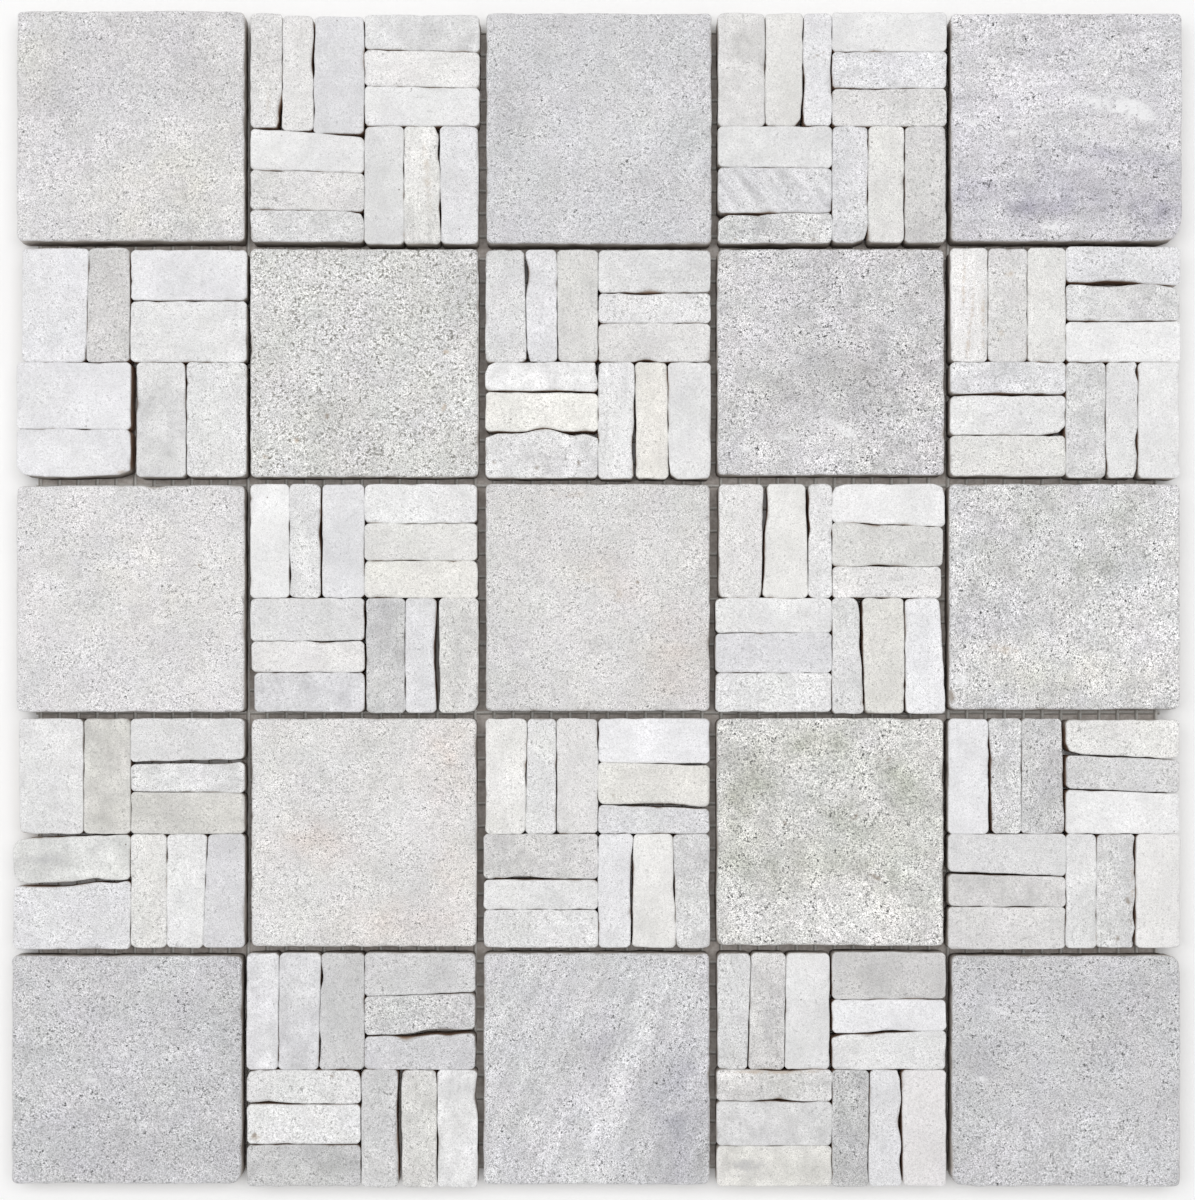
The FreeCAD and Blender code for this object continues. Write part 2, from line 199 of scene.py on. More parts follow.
quartzite = {
    "grainSize": 0.0003,
    "grainContrast": 1.0,
    "grainLeast": 0.83,  # the share of the grain that is left in the quiet patches
    "grainGain": 0.35,  # and what the rougher patches add to it
    "grainFrom": 0.36,
    "grainTo": 0.64,
    "crystalSize": 0.0004,
    "crystalContrast": 0.18,
    "crystalBend": 0.0004,  # how far noise bends the crystals out of shape
    "hueSize": 0.011,
    "hueLeast": 0.6,  # on a stone with no grain at all
    "rosyContrast": 0.022,
    "blueContrast": 0.034,
    "patchSize": 0.0052,
    "patchContrast": 0.3,
    "mottleContrast": 0.5,
    "streakSize": 0.0022,
    "streakStretch": 0.12,
    "streakContrast": 0.45,
    "dotSize": 0.0008,  # dark dots: flecks on every stone, and specks on the speckled ones
    "dotPatches": 0.3,  # how much they follow the patches
    "fleckFrom": 0.6,  # higher is sparser
    "fleckTo": 0.76,
    "fleckDepth": 0.21,  # how much darker the flecks are
    "speckFrom": 0.54,
    "speckTo": 0.72,
    "speckCover": 0.8,
    "speckColour": shown(140, 138, 131),
    "pitSpacing": 0.009,
    "pitReach": 0.000352,  # from a pit's middle to where it fades out
    "pitColour": shown(92, 80, 70),
    "markRagged": 0.0021,  # size of the breaks in the outlines of the marks
    # painted highlight: a light line along each stone's worn edge
    "highlightCover": 0.4,
    "highlightColour": shown(242, 242, 242),
    "upperShadeWander": 0.1,  # the upper painted shade's share of the wander of the shade at the foot
    "upperShadeFade": (0.0102, 0.0091),  # heights between which painted shade on the sides fades in, going down
    "upperShadeCover": 0.8,
    "upperShadeOuter": 0.35,  # how much less of it the sheet's outer sides have
    "upperShadeColour": shown(202, 194, 185),
    "hairlineShadeFade": (0.0101, 0.0086),  # painted shade, a brown one, in the hairlines between bars
    "hairlineShadeCover": 0.9,
    "hairlineShadeColour": shown(168, 138, 116),
    "footShadeFade": (0.0086, 0.0024),  # painted shade at the foot of the sides
    "footShadeWander": 0.006,
    "footShadeCover": 0.9,
    "footShadeOuter": 0.62,
    "footShadeColour": shown(92, 74, 62),
    "roughness": 0.68,
    "roughSpread": 0.3,
    "reliefStrength": 0.6,
    "reliefDepth": 0.00007,
}

markKinds = {  # how much each painted mark covers, and its colour
    "light": (0.8, shown(244, 244, 245)),
    "dark": (0.55, shown(178, 177, 180)),
    "stain": (0.6, shown(192, 172, 150)),
    "score": (0.85, shown(150, 138, 126)),  # cracks and small dark spots
}


def grainedTint(tree, look, place, fine, patch):  # the tint with its grain, patches, streaks and specks
    tint = attribute(tree, "tint", "Color")
    grained, streaked, mottled, speckled = split(tree, "traits")

    bend = tree.node("TexNoise", {}, {"Vector": place, "Scale": 1.0 / look["grainSize"]}, "Color")
    bent = place + (bend - 0.5) * look["crystalBend"]
    cells = tree.node("TexVoronoi", {}, {"Vector": bent, "Scale": 1.0 / look["crystalSize"]}, "Color")
    crystal = tree.node("SeparateColor", {}, {0: cells}, 0)
    facet = 0.25 - crystal * crystal * crystal  # a few crystals are dark
    dots = noise(tree, place + (0.9, 0.4, 0.2), look["dotSize"], 1.0, 0.6)
    dots = dots + (patch - 0.5) * look["dotPatches"]
    grain = (fine - 0.5) * look["grainContrast"] + facet * look["crystalContrast"]
    grain = grain - step(tree, dots, look["fleckFrom"], look["fleckTo"]) * look["fleckDepth"]

    drawn = place * (look["streakStretch"], 1.0, 1.0)
    streak = noise(tree, drawn, look["streakSize"], 2.0, 0.6)
    rough = step(tree, patch, look["grainFrom"], look["grainTo"])
    shade = 1.0 + grain * grained * (rough * look["grainGain"] + look["grainLeast"])
    shade = shade * (1.0 + (patch - 0.5) * (mottled * look["mottleContrast"] + look["patchContrast"]))
    shade = shade * (1.0 + (streak - 0.5) * streaked * look["streakContrast"])

    hues = {"Vector": place, "Scale": 1.0 / look["hueSize"], "Detail": 3.0, "Roughness": 0.65}
    warmth = tree.node("TexNoise", {}, hues, "Color")
    rosy, blue = [tree.node("SeparateColor", {}, {0: warmth}, index) - 0.5 for index in (0, 2)]
    blue = 1.0 + (blue * 0.85 + rosy * 0.5) * look["blueContrast"] * (look["hueLeast"] + grained)
    rosy = 1.0 + rosy * look["rosyContrast"] * (look["hueLeast"] + grained)
    colour = tint * shade * tree.node("CombineColor", {}, {0: rosy, 1: 1.0, 2: blue})
    specks = step(tree, dots, look["speckFrom"], look["speckTo"]) * speckled * look["speckCover"]
    return blend(tree, specks, colour, look["speckColour"])


def marked(tree, look, place, colour):  # with the painted marks, the painted highlight along the edge and the pits
    ragged = step(tree, noise(tree, place, look["markRagged"], 2.0, 0.7) * 0.9, 0.15, 0.6)
    for mark, (cover, tone) in zip(split(tree, "marks"), markKinds.values()):
        colour = blend(tree, step(tree, mark * ragged, 0.1, 0.8) * cover, colour, tone)
    # the tint's alpha holds a painted highlight along each stone's edge
    rim = attribute(tree, "tint", "Alpha")
    colour = blend(tree, rim * look["highlightCover"], colour, look["highlightColour"])
    spots = {"Vector": place, "Scale": 1.0 / look["pitSpacing"]}
    distance = tree.node("TexVoronoi", {}, spots, "Distance")
    pits = step(tree, distance, look["pitReach"] / look["pitSpacing"], 0.0)
    return blend(tree, pits, colour, look["pitColour"])


def below(tree, height, fade):  # 1 below the lower of two heights, 0 above the upper
    return 1.0 - step(tree, height, fade[1], fade[0])


def paintedSideShade(tree, look, patch, colour):  # with painted shade down its sides: a little just under the edge, a brown one in the hairlines between bars, and the darkest at the foot
    height = tree.node("SeparateXYZ", {}, {0: tree.node("TexCoord", {}, {}, "Object")}, 2)
    hairline = attribute(tree, "hairline", "Fac")
    outer = attribute(tree, "outer", "Fac")
    wander = (patch - 0.5) * look["footShadeWander"]
    upper = height + wander * look["upperShadeWander"]
    # painted shade: the sides grow darker going down, less so on the sheet's outer sides
    upperShade = below(tree, upper, look["upperShadeFade"]) * (look["upperShadeCover"] - outer * look["upperShadeOuter"])
    # in the hairlines between bars a brown painted shade
    hairlineShade = below(tree, upper, look["hairlineShadeFade"]) * hairline * look["hairlineShadeCover"]
    # and the darkest painted shade at the foot of the sides, outside the hairlines
    footShade = below(tree, height + wander, look["footShadeFade"]) * (1.0 - hairline)
    footShade = footShade * (look["footShadeCover"] - outer * look["footShadeOuter"])
    colour = blend(tree, upperShade, colour, look["upperShadeColour"])
    colour = blend(tree, hairlineShade, colour, look["hairlineShadeColour"])
    return blend(tree, footShade, colour, look["footShadeColour"])


def stoneMaterial(look):
    material, tree, shader = newMaterial("tumbledQuartzite")
    place = attribute(tree, "stonePlace", "Vector")
    fine = noise(tree, place, look["grainSize"], 2.0, 0.6)
    patch = noise(tree, place + (0.3, 0.1, 0.7), look["patchSize"], 3.0, 0.6)
    colour = grainedTint(tree, look, place, fine, patch)
    colour = marked(tree, look, place, colour)
    paintedSideShade(tree, look, patch, colour).feed(shader["Base Color"])
    roughness = look["roughness"] + (fine - 0.5) * look["roughSpread"]
    roughness.feed(shader["Roughness"])
    relief(tree, fine, look["reliefStrength"], look["reliefDepth"]).feed(shader["Normal"])
    return material


# stone forms

tumbled = {
    "fineStep": 0.0002,  # of the fine rim that the points are chosen from
    "spacing": 0.0013,  # between points along a straight side
    "tight": 0.00032,  # and round a corner
    "turnReach": 0.0007,
    "turnGain": 0.0012,
    "cornerReach": 0.00022,  # how far a corner is averaged
    "normalReach": 0.0007,
    "squareEdge": 0.0008,  # radius of the worn edge
    "barEdge": 0.00042,
    "edgeWander": 0.45,  # how unevenly it is worn
    "edgeWanderSize": 0.009,
    "footRadius": 0.0009,
    "swell": 0.00009,  # how far a stone is let out of its outline
    "belly": 0.00007,  # and how much further below its edge, where the bars touch
    "waveDepth": 0.00012,  # slow waves of the sides
    "waveSize": 0.011,
    "raggedDepth": 0.00017,  # small breaks along them
    "raggedSizes": (0.0032, 0.0014),
    "chipDepth": 0.0009,
    "chipWidths": (0.0006, 0.0024),
    "chipEvery": 0.015,  # one chip in this length of edge
    "faceSpacing": 0.0009,
    "footSpacing": 0.003,
    "faceWave": 0.00012,
    "faceWaveSizes": (0.013, 0.0036),
    "faceReach": 0.0006,  # how far down from the face its waves move the stone
}


def lattice(cells, seed):  # a number from -1 to 1 for each cell of a grid
    mixed = cells[..., 0] * 73856093 ^ cells[..., 1] * 19349663 ^ cells[..., 2] * 83492791 ^ seed * 2654435
    mixed = (mixed ^ (mixed >> 13)) * 1274126177
    return ((mixed ^ (mixed >> 16)) & 0xFFFF) / 32767.5 - 1.0


def waves(points, size, seed):  # smooth noise from -1 to 1 at each point
    places = points / size
    corner = np.floor(places).astype(np.int64)
    part = places - corner
    part = part * part * (3 - 2 * part)
    total = np.zeros(len(points))
    for offset in np.ndindex(2, 2, 2):
        share = np.prod(np.where(np.array(offset) == 1, part, 1 - part), axis=1)
        total += share * lattice(corner + np.array(offset), seed)
    return total


def evenly(outline, spacing):  # points at equal steps round a closed outline
    ends = np.vstack([outline, outline[:1]])
    lengths = np.hypot(*np.diff(ends, axis=0).T)
    along = np.concatenate([[0.0], np.cumsum(lengths)])
    count = int(round(along[-1] / spacing))
    wanted = np.arange(count) * along[-1] / count
    return np.column_stack([np.interp(wanted, along, ends[:, axis]) for axis in (0, 1)])


def eased(values, reach, spacing):  # a closed row of values, averaged over a reach
    turns = np.fft.fftfreq(len(values), spacing)
    weight = np.exp(-2 * (math.pi * turns * reach) ** 2)[:, None]
    return np.fft.ifft(np.fft.fft(values, axis=0) * weight, axis=0).real


def thinned(rim, look):  # the points of a fine closed rim worth keeping, close where it turns
    step = look["fineStep"]
    along = np.roll(rim, -1, axis=0) - rim
    before = np.roll(along, 1, axis=0)
    turning = np.abs(along[:, 0] * before[:, 1] - along[:, 1] * before[:, 0]) / step**3
    turning = eased(turning[:, None], look["turnReach"], step)[:, 0]
    density = step / look["spacing"] + np.minimum(turning * look["turnGain"], 1.0) * step / look["tight"]
    counted = np.cumsum(density)
    counted *= round(counted[-1]) / counted[-1]
    return np.searchsorted(counted, np.arange(round(counted[-1])) + 0.5)


def insideRim(points, rim):
    following = np.roll(rim, -1, axis=0)
    above = rim[None, :, 1] > points[:, None, 1]
    aboveNext = following[None, :, 1] > points[:, None, 1]
    run = (following - rim)[None]
    rise = np.where(np.abs(run[..., 1]) < 1e-12, 1e-12, run[..., 1])
    crossing = rim[None, :, 0] + (points[:, None, 1] - rim[None, :, 1]) * run[..., 0] / rise
    return ((above != aboveNext) & (points[:, None, 0] < crossing)).sum(axis=1) % 2 == 1


def faceLattice(rim, spacing, seed):  # staggered points inside a closed rim, clear of it
    low = rim.min(axis=0)
    high = rim.max(axis=0)
    points = []
    for index, y in enumerate(np.arange(low[1] + spacing * 0.6, high[1], spacing * 0.87)):
        xs = np.arange(low[0] + spacing * (0.6 + 0.5 * (index % 2)), high[0], spacing)
        points.append(np.column_stack([xs, np.full(len(xs), y)]))
    points = np.vstack(points)
    points += np.random.default_rng(seed).uniform(-0.16, 0.16, points.shape) * spacing
    away = points[:, None, :] - rim[None]
    near = np.hypot(away[..., 0], away[..., 1]).min(axis=1)
    return points[insideRim(points, rim) & (near > spacing * 0.6)]


sideWays = {"left": (-1, 0), "right": (1, 0), "top": (0, 1), "bottom": (0, -1)}


def broken(rim, outward, breaks):  # how far each break cuts into the sides along a rim
    middle = (rim.min(axis=0) + rim.max(axis=0)) / 2
    half = np.ptp(rim, axis=0) / 2
    cut = np.zeros(len(rim))
    for side, place, depth, width in breaks:
        facing = np.clip((outward @ np.array(sideWays[side]) - 0.4) / 0.4, 0.0, 1.0)
        axis = 1 if side in ("left", "right") else 0
        gap = (rim[:, axis] - middle[axis] - place * half[axis]) / width
        cut += depth * facing * np.exp(-np.abs(gap) ** 2.5)
    return cut


def chipped(along, length, look, chance):  # what the chips add to the radius of the worn edge
    chips = np.zeros(len(along))
    for _ in range(1 + int(length / look["chipEvery"])):
        gap = np.abs(along - chance.uniform(0, length))
        gap = np.minimum(gap, length - gap)
        depth = look["chipDepth"] * chance.uniform(0.2, 1.0)
        chips += depth * np.exp(-((gap / chance.uniform(*look["chipWidths"])) ** 2))
    return chips


def stoneRings(radius, foot, low, high):  # inset, height and share of the belly of each ring, going up
    rings = []
    for angle, belly in ((90, 0.3), (50, 0.6), (15, 1.0)):  # lower edge
        turn = math.radians(angle)
        rings.append((foot * (1 - math.cos(turn)), low + foot * (1 - math.sin(turn)), belly))
    for share in (0.3, 0.6, 0.85):  # side
        rings.append((foot * 0.0, low + foot + (high - low - foot - radius) * share, 1.0))
    for angle, belly in ((0, 0.8), (20, 0.4), (40, 0.2), (60, 0.0), (78, 0.0)):  # upper edge
        turn = math.radians(angle)
        rings.append((radius * (1 - math.cos(turn)), high - radius * (1 - math.sin(turn)), belly))
    rings.append((radius * 1.25, high - radius * 0.02, 0.0))
    return rings


def capped(points, start, count, spacing, seed):  # with the flat face inside a ring, and its triangles
    edge = points[start : start + count]
    inner = faceLattice(edge[:, :2], spacing, seed)
    flat = [Vector(point) for point in np.vstack([edge[:, :2], inner])]
    border = [(index, (index + 1) % count) for index in range(count)]
    made, _, triangles, sources = delaunay_2d_cdt(flat, border, [], 1, 1e-9)[:4]
    level = edge[:, 2].mean()
    places, fresh = [], []
    for point, source in zip(made, sources):
        first = min(source, default=count)
        if first < count:
            places.append(start + first)
        else:
            places.append(len(points) + len(fresh))
            fresh.append((point.x, point.y, level))
    points = np.vstack([points, np.array(fresh).reshape(-1, 3)])
    return points, [[places[index] for index in triangle] for triangle in triangles]


def stoneForm(outline, low, high, edge, look, breaks, seed):  # points and faces of one tumbled stone
    step = look["fineStep"]
    rim = eased(evenly(outline, step), look["cornerReach"], step)
    tangent = np.roll(rim, -1, axis=0) - np.roll(rim, 1, axis=0)
    outward = np.column_stack([tangent[:, 1], -tangent[:, 0]])
    outward = eased(outward, look["normalReach"], step)
    outward /= np.hypot(*outward.T)[:, None]
    along = np.arange(len(rim)) * step
    length = len(rim) * step
    kept = thinned(rim, look)
    rim, outward, along = rim[kept], outward[kept], along[kept]
    count = len(kept)

    cut = broken(rim, outward, breaks)
    middle = np.column_stack([rim, np.full(count, (low + high) / 2)])
    radius = edge * (1 + look["edgeWander"] * waves(middle, look["edgeWanderSize"], seed))
    radius = radius + chipped(along, length, look, np.random.default_rng(seed)) + 0.5 * np.abs(cut)
    rings = stoneRings(radius, radius + look["footRadius"] - edge, low, high)
    points = np.vstack([np.column_stack([rim - outward * ring[0][:, None], ring[1]]) for ring in rings])

    slow = waves(points * (1, 1, 0.5), look["waveSize"], seed + 5)
    coarse, fine = look["raggedSizes"]
    quick = waves(points, coarse, seed + 9) + 0.6 * waves(points, fine, seed + 13)
    push = look["swell"] - look["waveDepth"] * slow - look["raggedDepth"] * np.maximum(quick, -0.4)
    push += look["belly"] * np.repeat([ring[2] for ring in rings], count)
    push -= np.tile(cut, len(rings))
    points[:, :2] += np.tile(outward, (len(rings), 1)) * push[:, None]

    faces = []
    here = np.arange(count)
    ahead = np.roll(here, -1)
    for lower in range(0, (len(rings) - 1) * count, count):
        upper = lower + count
        faces += np.column_stack([here + lower, ahead + lower, ahead + upper, here + upper]).tolist()
    last = len(rings) - 1
    points, upward = capped(points, last * count, count, look["faceSpacing"], seed + last)
    points, downward = capped(points, 0, count, look["footSpacing"], seed)
    faces += upward + [triangle[::-1] for triangle in downward]

    broad, small = look["faceWaveSizes"]
    rise = look["faceWave"] * (waves(points, broad, seed + 21) + 0.35 * waves(points, small, seed + 23))
    points[:, 2] += np.where(points[:, 2] > high - look["faceReach"], rise, 0.0)
    return points, faces


def separateSolids(bm):  # the vertices of each solid
    waiting = set(bm.verts)
    groups = []
    while waiting:
        group = []
        todo = [waiting.pop()]
        while todo:
            vertex = todo.pop()
            group.append(vertex)
            for edge in vertex.link_edges:
                other = edge.other_vert(vertex)
                if other in waiting:
                    waiting.remove(other)
                    todo.append(other)
        groups.append(group)
    return groups


def walked(ring):  # the places of one level's vertices in their order round the stone
    first = next(iter(ring))
    loop = [first]
    previous = None
    while True:
        others = [edge.other_vert(loop[-1]) for edge in loop[-1].link_edges]
        nexts = [other for other in others if other in ring and other is not previous]
        previous = loop[-1]
        if not nexts or nexts[0] is first:
            return np.array([[vertex.co.x, vertex.co.y] for vertex in loop])
        loop.append(nexts[0])


def fromCorner(outline):  # the same outline, anticlockwise and begun at its corner nearest the lower left
    turned = np.roll(outline, -1, axis=0)
    if (outline[:, 0] * turned[:, 1] - turned[:, 0] * outline[:, 1]).sum() < 0:
        outline = outline[::-1]
    first = np.argmin(outline @ np.array([1.0, 0.37]))
    return np.roll(outline, -first, axis=0)


def stoneOutlines(node):  # the plan of each stone in a CAD node
    bm = bmesh.new()
    bm.from_mesh(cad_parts[node].data)
    bmesh.ops.remove_doubles(bm, verts=bm.verts, dist=1e-6)
    outlines = []
    for group in separateSolids(bm):
        side = sorted({round(vertex.co.z, 5) for vertex in group})[-2]  # just under the upper arris
        ring = {vertex for vertex in group if round(vertex.co.z, 5) == side}
        outlines.append(fromCorner(walked(ring)))
    bm.free()
    return outlines


# stone paint

stoneShades = {  # how light a stone shows, 0 to 255
    "bright": 238,
    "white": 232,
    "offWhite": 227,
    "pale": 222,
    "light": 217,
    "mid": 211,
    "grey": 205,
    "dark": 197,
}

stoneHues = {  # what a hue adds to its red, green and blue
    "cool": (-1, -1, 1),
    "lilac": (0, -1, 2),
    "warm": (1, 0, -1),
    "ivory": (1.2, 0.6, -2),
    "cream": (2, 0.8, -4),
    "peach": (3, 0.8, -5),
    "pink": (1, -1, -1),
    "rosy": (0.6, -0.5, 0.3),
    "green": (0, 0.8, -1.5),
}

stoneTraits = {  # grain, streaks, mottling and specks
    "silky": (0.75, 0.1, 0.1, 0.0),
    "plain": (1.1, 0.2, 0.2, 0.0),
    "cloudy": (1.0, 0.2, 1.0, 0.0),
    "grainy": (1.5, 0.2, 0.25, 0.1),
    "sugary": (2.0, 0.0, 0.1, 0.0),
    "coarse": (2.4, 0.0, 0.25, 0.0),
    "crystalline": (2.9, 0.0, 0.25, 0.0),
    "speckled": (2.7, 0.0, 0.2, 0.9),
    "streaked": (1.3, 1.0, 0.2, 0.0),
    "sawn": (1.3, 1.7, 0.1, 0.0),
    "mottled": (1.6, 0.2, 1.0, 0.05),
}

stoneCasts = {  # what a soft patch does to the red, green and blue below it
    "shade": (0.8, 0.8, 0.79),
    "glow": (1.14, 1.14, 1.14),
    "lilac": (0.785, 0.78, 0.822),
    "green": (0.775, 0.79, 0.742),
    "rosy": (0.99, 0.94, 0.91),
    "ivory": (1.016, 1.014, 0.972),
}


def stoneWords(words):  # the tint and the traits that a stone's words name
    colour = np.array([1.2, 0.7, 0.8])  # all of it is a touch rosy
    traits = []
    for word in words.split():
        if word in stoneShades:
            colour += stoneShades[word]
        elif word in stoneHues:
            colour += stoneHues[word]
        else:
            traits.append(stoneTraits[word])
    return shown(*colour), np.max(traits or [stoneTraits["plain"]], axis=0)


stonePaint = {
    "highlightWidth": 0.0004,  # of the painted highlight along the outline
    "highlightStep": 0.0006,
    "highlightSize": 0.004,  # of the stretches in which it comes and goes
    "cloudSize": 0.012,
    "cloudDepth": 0.065,
    "castDepth": 1.25,  # strength of the broad casts
    "castBend": 0.7,  # share of their width by which their outlines wander
    "castBendMost": 0.004,  # the width from which on it grows no more
    "castBendSize": 0.006,
    "castWorn": 0.45,  # how unevenly they are laid on
    "castWornSize": 0.0035,
    "blockEdge": 0.001,  # no painted hairline shade this near the sides of a block
    "blockFade": 0.002,
    "outerFrom": 0.1495,  # the sheet's own outer sides get less painted shade than the joints
    "outerTo": 0.1515,
}


def alongside(offset, angle):  # how far it runs along and across a direction in degrees
    cosine, sine = math.cos(math.radians(angle)), math.sin(math.radians(angle))
    return offset[:, 0] * cosine + offset[:, 1] * sine, offset[:, 1] * cosine - offset[:, 0] * sine


# a painted highlight along the outline, strongest at the edge and coming and going along it
def paintedHighlightRim(points, outline, look, seed):
    border = evenly(outline, look["highlightStep"])
    gap = np.hypot(*(points[:, None, :2] - border[None]).transpose(2, 0, 1)).min(axis=1)
    return np.exp(-((gap / look["highlightWidth"]) ** 2)) * (0.5 + 0.5 * waves(points, look["highlightSize"], seed + 31))


def clouded(points, tint, look, seed):  # the tint at each point, a little lighter and darker over the stone
    size = look["cloudSize"]
    cloud = waves(points, size, seed + 51) + 0.5 * waves(points, size / 2, seed + 53)
    return np.tile(tint, (len(points), 1)) * (1 + look["cloudDepth"] * (cloud - cloud.mean())[:, None])


def withMarks(points, local, half, tints, marks, look, seed):  # casts go into the tint, the rest on top
    size = look["castBendSize"]
    bend = np.column_stack([waves(points, size, seed + 41), waves(points, size, seed + 43)])
    worn = 0.8 + look["castWorn"] * waves(points, look["castWornSize"], seed + 47)
    spots = np.zeros((len(points), len(markKinds)))
    for kind, across, up, length, width, turn, strength in marks:
        offset = local[:, :2] - np.array([across, up]) * half
        if kind in stoneCasts:
            offset = offset + bend * min(width, look["castBendMost"]) * look["castBend"]
        lengthwise, sideways = alongside(offset, turn)
        near = strength * np.exp(-((lengthwise / length) ** 2) - (sideways / width) ** 2)
        if kind in stoneCasts:
            near = near * worn * look["castDepth"]
            tints = tints * (1 + near[:, None] * (np.array(stoneCasts[kind]) - 1))
        else:
            spots[:, list(markKinds).index(kind)] += near
    return tints, np.clip(spots, 0.0, 1.5)


def inward(points, box, look):  # 0 at the sides of a block and 1 a little inside them
    gaps = [points[:, axis] - box[0][axis] for axis in (0, 1)]
    gaps += [box[1][axis] - points[:, axis] for axis in (0, 1)]
    return np.clip((np.min(gaps, axis=0) - look["blockEdge"]) / look["blockFade"], 0.0, 1.0)


def onOuterSide(points, look):  # 1 on the sheet's own outer sides
    reach = look["outerTo"] - look["outerFrom"]
    return np.clip((np.abs(points[:, :2]).max(axis=1) - look["outerFrom"]) / reach, 0.0, 1.0)


def paintedStone(outline, box, edge, words, marks, breaks, angle, seed):
    low, high = box[0].z, box[1].z
    points, faces = stoneForm(outline, low, high, tumbled[edge], tumbled, breaks, seed)
    local = points - np.append(outline.mean(axis=0), (low + high) / 2)
    grainway = np.column_stack([*alongside(local, angle), local[:, 2]])
    tint, traits = stoneWords(words)
    tints = clouded(points, tint[:3], stonePaint, seed)
    half = np.ptp(outline, axis=0) / 2
    tints, spots = withMarks(points, local, half, tints, marks, stonePaint, seed)
    layers = {
        "stonePlace": grainway + np.random.default_rng(seed + 99).uniform(1.0, 9.0, 3),
        # the tint's alpha carries the painted highlight along the edge
        "tint": np.column_stack([tints, paintedHighlightRim(points, outline, stonePaint, seed)]),
        "traits": np.tile(traits, (len(points), 1)),
        "marks": spots,
        # where the brown painted shade of the hairlines goes
        "hairline": inward(points, box, stonePaint)[:, None] * (edge == "barEdge"),
        # less painted shade on the sheet's own outer sides
        "outer": onOuterSide(points, stonePaint)[:, None],
    }
    return points, faces, layers


paintLayers = {  # the kind of each painted layer, and the field that holds its values
    "stonePlace": ("FLOAT_VECTOR", "vector"),
    "tint": ("FLOAT_COLOR", "color"),
    "traits": ("FLOAT_COLOR", "color"),
    "marks": ("FLOAT_COLOR", "color"),
    "hairline": ("FLOAT", "value"),
    "outer": ("FLOAT", "value"),
    "strand": ("FLOAT", "value"),
}


def joinedPiece(name, parts):  # one smooth piece made of parts, each with its points, faces and paint
    points, faces, base = [], [], 0
    for some, corners, _ in parts:
        points.append(some)
        faces += [[index + base for index in face] for face in corners]
        base += len(some)
    mesh = bpy.data.meshes.new(name)
    mesh.from_pydata(np.vstack(points).tolist(), [], faces)
    mesh.shade_smooth()
    for key in parts[0][2]:
        kind, field = paintLayers[key]
        layer = mesh.attributes.new(key, kind, "POINT")
        values = np.vstack([paint[key] for _, _, paint in parts])
        layer.data.foreach_set(field, values.astype(np.float32).ravel())
    return placed(name, mesh)


def settle(piece, slot, *nodes):
    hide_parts(*nodes)
    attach(piece, "root")


stoneFinish = stoneMaterial(quartzite)


# square tiles: words are the tint and its traits; a mark is its kind, its place as a share of the
# half width and half height, its half length and half width in metres, its turn and its strength

